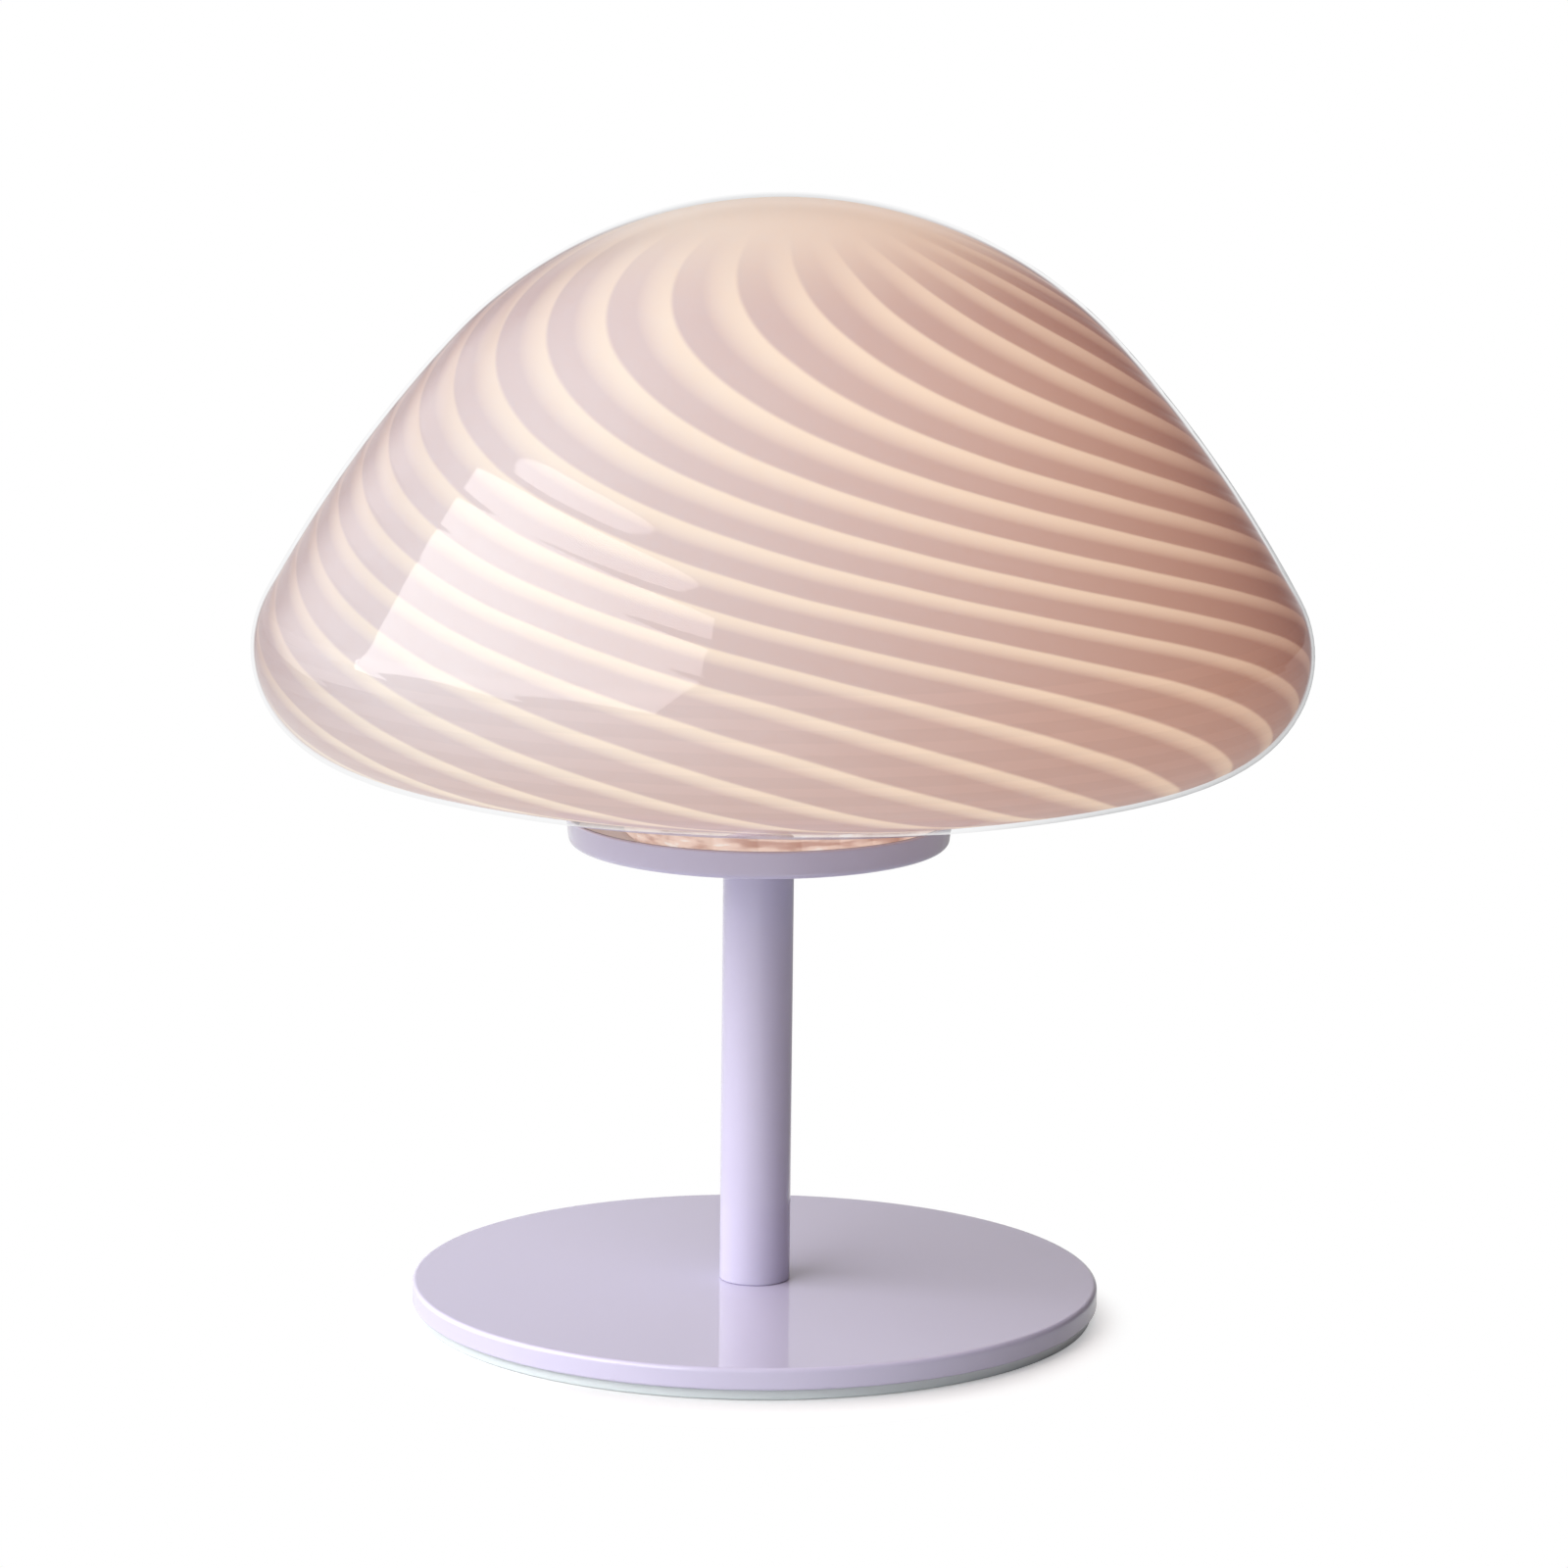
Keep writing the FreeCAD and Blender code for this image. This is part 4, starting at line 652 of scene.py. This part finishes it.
angle = column / inputs["Columns"] * (2 * math.pi)
radius, _, height = lathe.parts(spot)
placed = lathe.read("Vector", "ShaderNodeCombineXYZ", None, {
    0: radius * lathe.maths("COSINE", angle) + inputs["Axis X"],
    1: radius * lathe.maths("SINE", angle),
    2: height})
shell = lathe.read("Geometry", "GeometryNodeSetPosition", None, {
    "Geometry": grid, "Position": placed})
for name, value in (("swirl", swirl), ("fall", fall), ("inside", inside)):
    shell = lathe.read("Geometry", "GeometryNodeStoreNamedAttribute", {"data_type": "FLOAT"}, {
        "Geometry": shell, "Name": name, "Value": value})
shell = lathe.read("Geometry", "GeometryNodeMergeByDistance", None, {
    "Geometry": shell, "Distance": SEAM_REACH})
shell = lathe.read("Geometry", "GeometryNodeSetShadeSmooth", None, {"Geometry": shell})
shell = lathe.read("Geometry", "GeometryNodeRealizeInstances", None, {"Geometry": shell})
shell = lathe.read("Geometry", "GeometryNodeSetMaterial", None, {
    "Geometry": shell, "Material": inputs["Finish"]})
shell = lathe.read("Geometry", "GeometryNodeSetMaterial", None, {
    "Geometry": shell, "Selection": outline_attribute("FLOAT", "inside") - 0.5,
    "Material": inputs["Inner Finish"]})
lathe.add("NodeGroupOutput", None, {"Piece": shell})
print("turning tree:", len(turning.nodes), "nodes")

# %% [markdown]
# A modifier's inputs are set by each socket's identifier. They are set before the object is first
# looked at, and the result is then copied out as a plain mesh, because the frame's calls want a
# finished piece without live modifiers.

# %% Run a tree
def run_tree(tree, mesh, values, name):
    """The plain object that a geometry tree makes of a mesh."""
    piece = bpy.data.objects.new(name, mesh)
    scene.collection.objects.link(piece)
    modifier = piece.modifiers.new("tree", "NODES")
    modifier.node_group = tree
    for socket in tree.interface.items_tree:
        if socket.in_out == "INPUT" and socket.name in values:
            modifier[socket.identifier] = values[socket.name]
    ready = piece.evaluated_get(bpy.context.evaluated_depsgraph_get())
    result = bpy.data.meshes.new_from_object(ready)
    piece.modifiers.clear()
    piece.data = result
    result.name = name
    return piece


def turn_piece(name, points, finish, slot, body, nodes, columns=192, closed=True, **more):
    """Turn an outline into a piece, put it on its body and let it stand for its nodes."""
    mesh = outline_mesh(name, points, closed, more.pop("record", None))
    values = {
        "Columns": columns, "Axis X": 0.0, "Finish": finish, "Inner Finish": finish, **more}
    piece = run_tree(turning, mesh, values, name)
    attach(piece, body)
    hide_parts(*nodes)
    triangles = sum(len(face.vertices) - 2 for face in piece.data.polygons)
    print(f"{name}: {len(piece.data.vertices)} points, {triangles} triangles")


print("inputs:", [socket.name for socket in turning.interface.items_tree])

# %% [markdown]
# ## Base and stem
# The plate is a steel disc with softly broken edges, so that the lacquer doesn't run thin there.
# The pad under it stands a little in from the edge. A cylinder with a Bevel modifier could stand
# for either, but with an outline each edge has its own rounding, and the plate its countersunk
# hole for the screw from below.

# %% Base plate and pad
def extent(node):
    """A round node's outer radius, its foot and its top."""
    low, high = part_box(node)
    return (high[0] - low[0]) / 2, low[2], high[2]


PLATE_TOP_ROUND = 1.1 * MM
PLATE_FOOT_ROUND = 0.6 * MM
PAD_ROUND = 0.5 * MM
SCREW_HOLE = 3.3 * MM
SCREW_HEAD_HOLE = 6.3 * MM
SCREW_HEAD_HEIGHT = 3.3 * MM

plate_radius, plate_foot, plate_top = extent("base_plate")
turn_piece("plate_disc", rounded([
    (SCREW_HEAD_HOLE, plate_foot, 0.0),
    (plate_radius, plate_foot, PLATE_FOOT_ROUND),
    (plate_radius, plate_top, PLATE_TOP_ROUND),
    (SCREW_HOLE, plate_top, 0.0),
    (SCREW_HOLE, plate_foot + SCREW_HEAD_HEIGHT, 0.0),
]), lilac_lacquer, "lilac_lacquer", "stand", ["base_plate"], columns=360)

pad_radius, pad_foot, pad_top = extent("base_pad")
turn_piece("pad_disc", rounded([
    (0.0, pad_foot, 0.0),
    (pad_radius, pad_foot, PAD_ROUND),
    (pad_radius, pad_top, PAD_ROUND),
    (0.0, pad_top, 0.0),
]), clear_pad, "clear_pad", "stand", ["base_pad"], columns=360, closed=False)

# %% [markdown]
# The stem is a length of thin tube, cut square, with its outer edges just broken. Its outline is
# closed like the plate's, so the same tree turns its bore too.

# %% Stem
STEM_WALL = 1.3 * MM
STEM_ROUND = 0.4 * MM

stem_radius, stem_foot, stem_top = extent("stem_tube")
turn_piece("stem_post", rounded([
    (stem_radius - STEM_WALL, stem_foot, 0.0),
    (stem_radius, stem_foot, STEM_ROUND),
    (stem_radius, stem_top, STEM_ROUND),
    (stem_radius - STEM_WALL, stem_top, 0.0),
]), lilac_lacquer, "lilac_lacquer", "stand", ["stem_tube"], columns=120)

# %% [markdown]
# ## Dish
# The dish is spun from sheet: a flat floor, a tight bend, and a wall that leans out by a few
# degrees to a rounded lip. Its corners follow from the node's own box, the sheet's thickness and
# the lean. A soft ring lies in it for the glass to stand on.

# %% Dish and its soft ring
DISH_WALL = 1.2 * MM
DISH_BEND = 1.6 * MM
DISH_FLARE = math.radians(7)
DISH_LIP_ROUND = 0.5 * MM
DISH_HOLE = 5.3 * MM
LINER_ROUND = 0.4 * MM
LINER_GAP = 0.3 * MM

dish_radius, dish_foot, dish_top = extent("shade_dish")
lean = math.tan(DISH_FLARE)
wall_across = DISH_WALL / math.cos(DISH_FLARE)
foot_radius = dish_radius - (dish_top - dish_foot) * lean
inner_foot = foot_radius + DISH_WALL * lean - wall_across
turn_piece("dish_shell", rounded([
    (DISH_HOLE, dish_foot, 0.0),
    (foot_radius, dish_foot, DISH_BEND),
    (dish_radius, dish_top, DISH_LIP_ROUND),
    (dish_radius - wall_across, dish_top, DISH_LIP_ROUND),
    (inner_foot, dish_foot + DISH_WALL, DISH_BEND - DISH_WALL),
    (DISH_HOLE, dish_foot + DISH_WALL, 0.0),
]), lilac_lacquer, "lilac_lacquer", "stand", ["shade_dish"], columns=288)

liner_radius, liner_foot, liner_top = extent("dish_liner")
liner_inner = extent("holder_cover")[0] + LINER_GAP
turn_piece("liner_ring", rounded([
    (liner_inner, liner_foot, 0.0),
    (liner_radius, liner_foot, 0.0),
    (liner_radius, liner_top, LINER_ROUND),
    (liner_inner, liner_top, LINER_ROUND),
]), clear_silicone, "clear_silicone", "stand", ["dish_liner"], columns=192)

# %% [markdown]
# ## The glass shade
# The shade is cased glass: an opal core with cream threads twisted into it, and a clear skin over
# it. Its outline is four arcs that run into each other, crown, flank, rim and underside, then a
# small hollow turn down into the neck. An arc is the x and z of its centre and its radius, and a
# heading is the way that the wall faces where two arcs meet, counted from straight up. Every wall
# of the glass is the same outline, some depth in. A free curve could be bent to match by eye, but
# arcs stay smooth and fit the solid that they stand for.

# %% Outline of the glass
SHADE_AXIS = 5.0 * MM
CROWN = (0.0, 154.62 * MM, 103.494 * MM)
FLANK = (-143.86 * MM, 23.7 * MM, 298.0 * MM)
RIM = (96.3 * MM, 155.2 * MM, 24.2 * MM)
UNDERSIDE = (38.9 * MM, 357.1 * MM, 234.12 * MM)
NECK_TURN = (38.9 * MM, 120.98 * MM, 2.0 * MM)
HEADINGS = [math.radians(angle) for angle in (0.0, 47.7, 61.3, 164.157, 180.0)]
GLASS_WALL = 3.6 * MM
SKIN = 1.0 * MM
SKIN_GAP = 0.1 * MM
LIP_ROUND = 0.9 * MM
LIP_SHARE = 0.45
LIP_STEPS = 4
NECK_TURN_STEPS = 7


def glass_line(depth, step):
    """The wall's outline from the top down to the neck's turn, some depth inside the glass."""
    line = []
    arcs = zip((CROWN, FLANK, RIM, UNDERSIDE), HEADINGS, HEADINGS[1:])
    for (x, z, radius), start, end in arcs:
        steps = max(4, round((radius - depth) * (end - start) / step))
        line += bend((x, z), radius - depth, start, end, steps)[(1 if line else 0):]
    x, z, radius = NECK_TURN
    line += bend((x, z), radius + depth, 0.0, -math.pi / 2, NECK_TURN_STEPS)[1:]
    return line


def glass_shell(outer, inner, foot, outer_step, inner_step):
    """A closed wall between two depths: down its inside from the top, round the foot and up its
    outside again. It starts and ends on the axis, and its faces look outwards."""
    inside = glass_line(inner, inner_step)
    outside = glass_line(outer, outer_step)
    neck_in, neck_out = inside[-1][0], outside[-1][0]
    size = min(LIP_ROUND, LIP_SHARE * (neck_out - neck_in))
    lip = bend((neck_in + size, foot + size), size, -math.pi / 2, -math.pi, LIP_STEPS)
    lip += bend((neck_out - size, foot + size), size, math.pi, math.pi / 2, LIP_STEPS)
    return inside + lip + outside[::-1], len(inside) + len(lip) // 2


_, shade_foot, shade_top = extent("glass_shade")
print("glass: foot", round(shade_foot, 4), "top", round(shade_top, 4),
      "drawn top", round(CROWN[1] + CROWN[2], 4))

# %% [markdown]
# The threads start almost straight at the top and lean over more and more towards the rim, as
# they do when hot glass is twisted while its lower edge is held. Their turn is a formula of the
# distance down the outside from the top: no turn at first, then a steady rate, then a little
# less round the rim. Its angles are in degrees and its rates in degrees to the millimetre.

# %% Twist of the threads
THREADS = 23
TWIST_FIRST = -14.17
TWIST_RATE = 2.2211
TWIST_MIDDLE = 92.25 * MM
TWIST_SOFTNESS = 29.06 * MM
TWIST_SLACK = -0.0163
SLACK_START = 140.0 * MM


def thread_turn(fall):
    """How far a thread has turned, as a share of a full turn, some way down from the top."""
    eased = math.log(1 + math.exp((fall - TWIST_MIDDLE) / TWIST_SOFTNESS))
    slack = max(fall - SLACK_START, 0.0) / MM
    degrees = (
        TWIST_FIRST + TWIST_RATE * (TWIST_SOFTNESS / MM) * eased + TWIST_SLACK * slack ** 2 / 2)
    return degrees / 360


def thread_record(points, outside_start):
    """For each point of a shell's outline: its way down from the top, its thread's turn, and 1 on
    the inside. The inside carries the same threads as the outside."""
    falls = [0.0] * len(points)
    for index in range(len(points) - 2, outside_start - 1, -1):
        falls[index] = falls[index + 1] + math.dist(points[index], points[index + 1])
    for index in range(1, outside_start):
        falls[index] = falls[index - 1] + math.dist(points[index], points[index - 1])
    return lambda index: (
        falls[index], thread_turn(falls[index]), 1.0 if index < outside_start else 0.0)


for fall in (0.0, 60.0, 120.0, 180.0):
    print(f"{fall:5.0f} mm down: thread turned {360 * thread_turn(fall * MM):6.1f} degrees")

# %% [markdown]
# The threads could be a painted picture, but a rule stays sharp at any distance. A shader finds
# its thread from two things: the angle round the shade's axis, and the thread's turn that the
# mesh carries. Threads laid by hand are never quite even, so they stray from that rule by part
# of a step. Three curves of the way down add up: one the same all round, one that changes sign
# from left to right, and one that grows towards the back. The result runs from 0 at a thread's
# crisp edge to 1 at the next one's, and the spare steps only keep the count above zero.

# %% Which thread
CRISP_EDGE = 0.375
STRAY_MIDDLE = 120.0 * MM
STRAY_REACH = 60.0 * MM
STRAY_ENDS = (-1.5, 1.25)
STRAY_EVEN = (0.0, -0.15, -0.03, 0.18)
STRAY_ACROSS = (-0.17, 0.03, 0.10)
STRAY_BACK = (0.05, 0.25, 0.54)
WAVER = 0.10
SPARE_STEPS = 64.0
NEVER_ZERO = 0.1 * MM


def carried_value(graph, name):
    """A value that the turned mesh carries."""
    settings = {"attribute_type": "GEOMETRY", "attribute_name": name}
    return graph.read("Fac", "ShaderNodeAttribute", settings)


def curve_of(value, weights):
    """A polynomial of a value, lowest power first."""
    total = weights[-1]
    for weight in reversed(weights[:-1]):
        total = value * total + weight
    return total


def across_thread(graph, place):
    """How far across its thread a place on the glass is, and its way down from the top."""
    x, y, _ = graph.parts(place)
    x = x - SHADE_AXIS
    fall = carried_value(graph, "fall")
    down = (fall - STRAY_MIDDLE) / STRAY_REACH
    down = graph.maths("MINIMUM", graph.maths("MAXIMUM", down, STRAY_ENDS[0]), STRAY_ENDS[1])
    spread = (x * x + y * y) ** 0.5 + NEVER_ZERO
    stray = curve_of(down, STRAY_EVEN) + curve_of(down, STRAY_ACROSS) * (x / spread)
    stray = stray + curve_of(down, STRAY_BACK) * (y / spread + 1.0)
    waver = graph.noise(place, 24.0, 2.0) - 0.5
    turn = graph.maths("ARCTAN2", y, x) / (2 * math.pi) - carried_value(graph, "swirl")
    count = turn * THREADS + stray + WAVER * waver
    return graph.maths("FRACT", CRISP_EDGE - count + SPARE_STEPS), fall


print("stray, in steps: all round", STRAY_EVEN, "across", STRAY_ACROSS, "back", STRAY_BACK)

# %% [markdown]
# A thread is bright right behind its crisp edge, where it was laid on, and melts away towards the
# next one, sooner low down. Lit from inside, threads glow cream and the opal between them glows
# rose. On the crown the threads haven't parted yet, so it has colours of its own. The glow is
# painted a little brighter on the left and near the top: painted light. The base colour is what
# the outside light finds: the cooler share that the glow lacks. The neck is thick and uneven, so
# the bulb's light breaks in streaks there. A light inside a glass that scatters would be the true
# way, but it is slow and noisy, so the opal gives the glow itself.

# %% Opal glass
THREAD_GLOW = (1.00, 0.745, 0.54, 1.0)
OPAL_GLOW = (0.60, 0.325, 0.225, 1.0)
CROWN_GLOW = (0.78, 0.485, 0.325, 1.0)
THREAD_BODY = (0.03, 0.10, 0.15, 1.0)
OPAL_BODY = (0.15, 0.25, 0.31, 1.0)
CROWN_BODY = (0.09, 0.20, 0.245, 1.0)
# Painted light: how much brighter the glow is painted to the left and towards the top.
PAINTED_GLOW_LEFT = (-0.08, -0.16, -0.20)
PAINTED_GLOW_TOP = 0.20
GLOW_REACH = 118.0 * MM
GLOW_MIDDLE = 182.0 * MM
NECK_GLOW = (0.92, 0.63, 0.50, 1.0)
NECK_STREAK = (0.60, 0.31, 0.22, 1.0)
NECK_SPARK = (1.00, 0.82, 0.72, 1.0)
NECK_STARTS = (258.0 * MM, 262.0 * MM)
STREAKS_FLAT = (1.0, 1.0, 5.0)
STREAK_ENDS = (0.36, 0.54)
SPARK_STARTS = (0.58, 0.64)
THREADS_PART = (28.0 * MM, 70.0 * MM)
RISE = 0.09
MELT_STARTS = 0.07
MELT_HIGH = 0.52
MELT_LOW = 0.36
MELT_SHORTENS = (110.0 * MM, 170.0 * MM)
MELT_CURVE = 1.7

opal_glass, graph, place = new_finish("opal_glass")
across, fall = across_thread(graph, place)
edge = graph.smooth(across, 0.0, RISE)
melt = MELT_HIGH + (MELT_LOW - MELT_HIGH) * graph.smooth(fall, *MELT_SHORTENS)
melted = graph.maths("MAXIMUM", (across - MELT_STARTS) / melt, 0.0)
melted = graph.maths("MINIMUM", melted, 1.0)
thread = edge * (1.0 - melted ** MELT_CURVE)
threaded = graph.smooth(fall, *THREADS_PART)
glow = graph.blend(thread, OPAL_GLOW, THREAD_GLOW)
glow = graph.blend(threaded, CROWN_GLOW, glow)
body = graph.blend(thread, OPAL_BODY, THREAD_BODY)
body = graph.blend(threaded, CROWN_BODY, body)
streak = graph.noise(graph.vector("MULTIPLY", place, STREAKS_FLAT), 90.0, 3.0)
neck = graph.blend(graph.smooth(streak, *STREAK_ENDS), NECK_STREAK, NECK_GLOW)
neck = graph.blend(graph.smooth(streak, *SPARK_STARTS), neck, NECK_SPARK)
in_neck = graph.smooth(fall, *NECK_STARTS)
cloud = graph.noise(place, 14.0, 3.0)
x, _, z = graph.parts(place)
# painted light: the glow is brighter on the left and near the top
painted_left_glow = graph.vector("MULTIPLY", x / GLOW_REACH, PAINTED_GLOW_LEFT)
level = graph.vector("ADD", painted_left_glow, 1.0 + (PAINTED_GLOW_TOP / GLOW_REACH) * (z - GLOW_MIDDLE))
even = graph.blend(in_neck, glow, neck)
finish_with(graph, {
    "Base Color": body,
    "Roughness": 0.45 + 0.1 * cloud,
    "Specular IOR Level": 0.0,
    "Emission Color": graph.vector("MULTIPLY", even, level),
    "Emission Strength": 1.0,
})
print("opal between threads glows", OPAL_GLOW[:3], "and a thread", THREAD_GLOW[:3])

# %% [markdown]
# The opal is a closed shell of its own, a hair inside the skin. It is finely divided down the
# glass, so that its outline is smooth, and has twelve columns to a thread.

# %% Opal shell
SHADE_COLUMNS = 12 * THREADS
OUTSIDE_STEP = 2.0 * MM

core_points, core_outside = glass_shell(
    SKIN + SKIN_GAP, GLASS_WALL, shade_foot, OUTSIDE_STEP, inner_step=4.5 * MM)
turn_piece(
    "shade_opal", core_points, opal_glass, "opal_glass", "shade", ["glass_shade"],
    columns=SHADE_COLUMNS, closed=False, record=thread_record(core_points, core_outside),
    **{"Axis X": SHADE_AXIS})

# %% [markdown]
# Clear glass is a window and a mirror at once, and Fresnel's law says how much of each. A Glass
# shader does both, but it bends light too, which is slow and noisy in thin walls. So the window
# is a Transparent shader, the mirror a polished Metallic one, and a Mix Shader shares them out.
# Light that leaves the glass again meets no second mirror.

# %% Clear glass
PALE = (0.970, 0.974, 0.980, 1.0)
MIRROR_IOR = 1.34


def window(graph, colour):
    """Clear glass that tints what lies behind it."""
    return graph.read("BSDF", "ShaderNodeBsdfTransparent", None, {"Color": colour})


def finish_glass(graph, behind, smear, more):
    """Close a finish with a window and the mirror over it. more may hold a Normal for both."""
    share = graph.read("Fac", "ShaderNodeFresnel", None, {"IOR": MIRROR_IOR, **more})
    share = share * (1.0 - graph.read("Backfacing", "ShaderNodeNewGeometry"))
    mirror = graph.read("BSDF", "ShaderNodeBsdfPrincipled", None, {
        "Base Color": graph.blend(smear, grey(0.97), grey(1.0)), "Metallic": 1.0,
        "Roughness": 0.02 + 0.03 * smear, **more})
    mixed = graph.mix(share, behind, mirror)
    graph.add("ShaderNodeOutputMaterial", None, {"Surface": mixed})


print("clear glass: mirror from an index of", MIRROR_IOR, "and window", PALE[:3])

# %% [markdown]
# The clear skin is what shines. Each thread lifts it by a fraction of a millimetre, which breaks
# the soft light's reflection into steps and tongues. That is too fine for a mesh, so it is a
# bump: a hump over each thread, steeper at its crisp edge, its height a little different from
# place to place. A ray that meets the glass aslant goes through more of it, so the skin is a
# deeper tint there, but for the outermost line, where nothing but clear glass lies behind it.
# The skin is thin on the crown and again under the rim, and has little tint there.

# %% Clear skin
DEEP = (0.27, 0.05, 0.04, 1.0)
CLEAR_LINE = (0.86, 0.90)
THICKENS = (25.0 * MM, 75.0 * MM)
THINS = (160.0 * MM, 195.0 * MM)
RIPPLE = 0.10 * MM
RIPPLE_RISES = (30.0 * MM, 80.0 * MM)
RIPPLE_FADES = (160.0 * MM, 225.0 * MM)
RIPPLE_LOW = 0.4
RIPPLE_SPREAD = 1.2
HUMP_LEAN = 0.62
BACK_TINT = (0.972, 0.976, 0.980, 1.0)
BACK_TINT_PALE = (0.980, 0.982, 0.986, 1.0)

clear_skin, graph, place = new_finish("clear_skin")
across, fall = across_thread(graph, place)
hump = graph.maths("SINE", (across ** HUMP_LEAN) * math.pi) ** 2.0
strength = graph.smooth(fall, *RIPPLE_RISES)
strength = strength * (1.0 - graph.smooth(fall, *RIPPLE_FADES))
uneven = RIPPLE_LOW + RIPPLE_SPREAD * graph.noise(place, 20.0, 2.0)
normal = bumped(graph, hump * strength * uneven, RIPPLE)
aslant = graph.read("Facing", "ShaderNodeLayerWeight", None, {"Blend": 0.5})
thick = graph.smooth(fall, *THICKENS) * (1.0 - graph.smooth(fall, *THINS))
tinted = aslant * aslant * (1.0 - graph.smooth(aslant, *CLEAR_LINE)) * thick
behind = graph.mix(tinted, window(graph, PALE), window(graph, DEEP))
finish_glass(graph, behind, graph.noise(place, 40.0, 2.0), {"Normal": normal})

clear_skin_back, graph, place = new_finish("clear_skin_back")
haze = graph.noise(place, 30.0, 2.0)
tint = graph.blend(haze, BACK_TINT, BACK_TINT_PALE)
graph.add("ShaderNodeOutputMaterial", None, {"Surface": window(graph, tint)})
print("skin: ripples", RIPPLE / MM, "mm high, deepest tint", DEEP[:3])

# %% [markdown]
# The skin is a shell like the opal, with the same threads. Its inner face is all window.

# %% Skin shell
skin_points, skin_outside = glass_shell(
    0.0, SKIN, shade_foot, OUTSIDE_STEP, inner_step=5.0 * MM)
turn_piece(
    "shade_skin", skin_points, clear_skin, "opal_glass", "shade", ["glass_shade"],
    columns=SHADE_COLUMNS, closed=False, record=thread_record(skin_points, skin_outside),
    **{"Axis X": SHADE_AXIS, "Inner Finish": clear_skin_back})

# %% [markdown]
# ## The bulb
# It hides under the shade until the shade is lifted off. Its glass is the same window and mirror
# as the skin, without ripples. The emitters on its ceramic core are small blocks of phosphor,
# which glow no brighter than white paper, so that their colour shows.

# %% Bulb finishes
PHOSPHOR = (0.90, 0.66, 0.12, 1.0)
PHOSPHOR_DEEP = (0.84, 0.58, 0.10, 1.0)
PHOSPHOR_GLOW = (1.00, 0.80, 0.46, 1.0)
PHOSPHOR_GLOW_DEEP = (0.92, 0.70, 0.36, 1.0)

clear_glass, graph, place = new_finish("clear_glass")
finish_glass(graph, window(graph, PALE), graph.noise(place, 90.0, 2.0), {})

phosphor, graph, place = new_finish("phosphor")
grain = graph.noise(place, 2600.0, 2.0)
finish_with(graph, {
    "Base Color": graph.blend(grain, PHOSPHOR, PHOSPHOR_DEEP),
    "Roughness": 0.60 + 0.10 * grain,
    "Emission Color": graph.blend(grain, PHOSPHOR_GLOW, PHOSPHOR_GLOW_DEEP),
    "Emission Strength": 1.0,
})
print("bulb finishes:", clear_glass.name, "and", phosphor.name)

# %% [markdown]
# The screws, nuts, leads, holder and bulb are small, and most are hidden, so they keep the
# frame's own meshes. Each gets the finish that its slot in the frame's record asks for.

# %% Finishes for the frame's own pieces
SLOT_FINISHES = {
    "clear_pad": clear_pad, "lilac_lacquer": lilac_lacquer, "zinc_steel": zinc_steel,
    "lilac_plastic": lilac_plastic, "clear_silicone": clear_silicone,
    "tinned_brass": tinned_brass, "brass": brass, "white_ceramic": white_ceramic,
    "white_lacquer": white_lacquer, "brown_insulation": brown_insulation,
    "blue_insulation": blue_insulation, "green_yellow_insulation": green_yellow_insulation,
    "white_insulation": white_insulation, "clear_sleeve": clear_sleeve,
    "white_plastic": white_plastic, "pin_wire": pin_wire, "phosphor": phosphor,
    "clear_glass": clear_glass, "opal_glass": opal_glass,
}
for part in frame["record"]["subparts"]:
    node = frame["nodes"][part["node"]]
    node.data.materials.clear()
    node.data.materials.append(SLOT_FINISHES[part["material_slot"]])
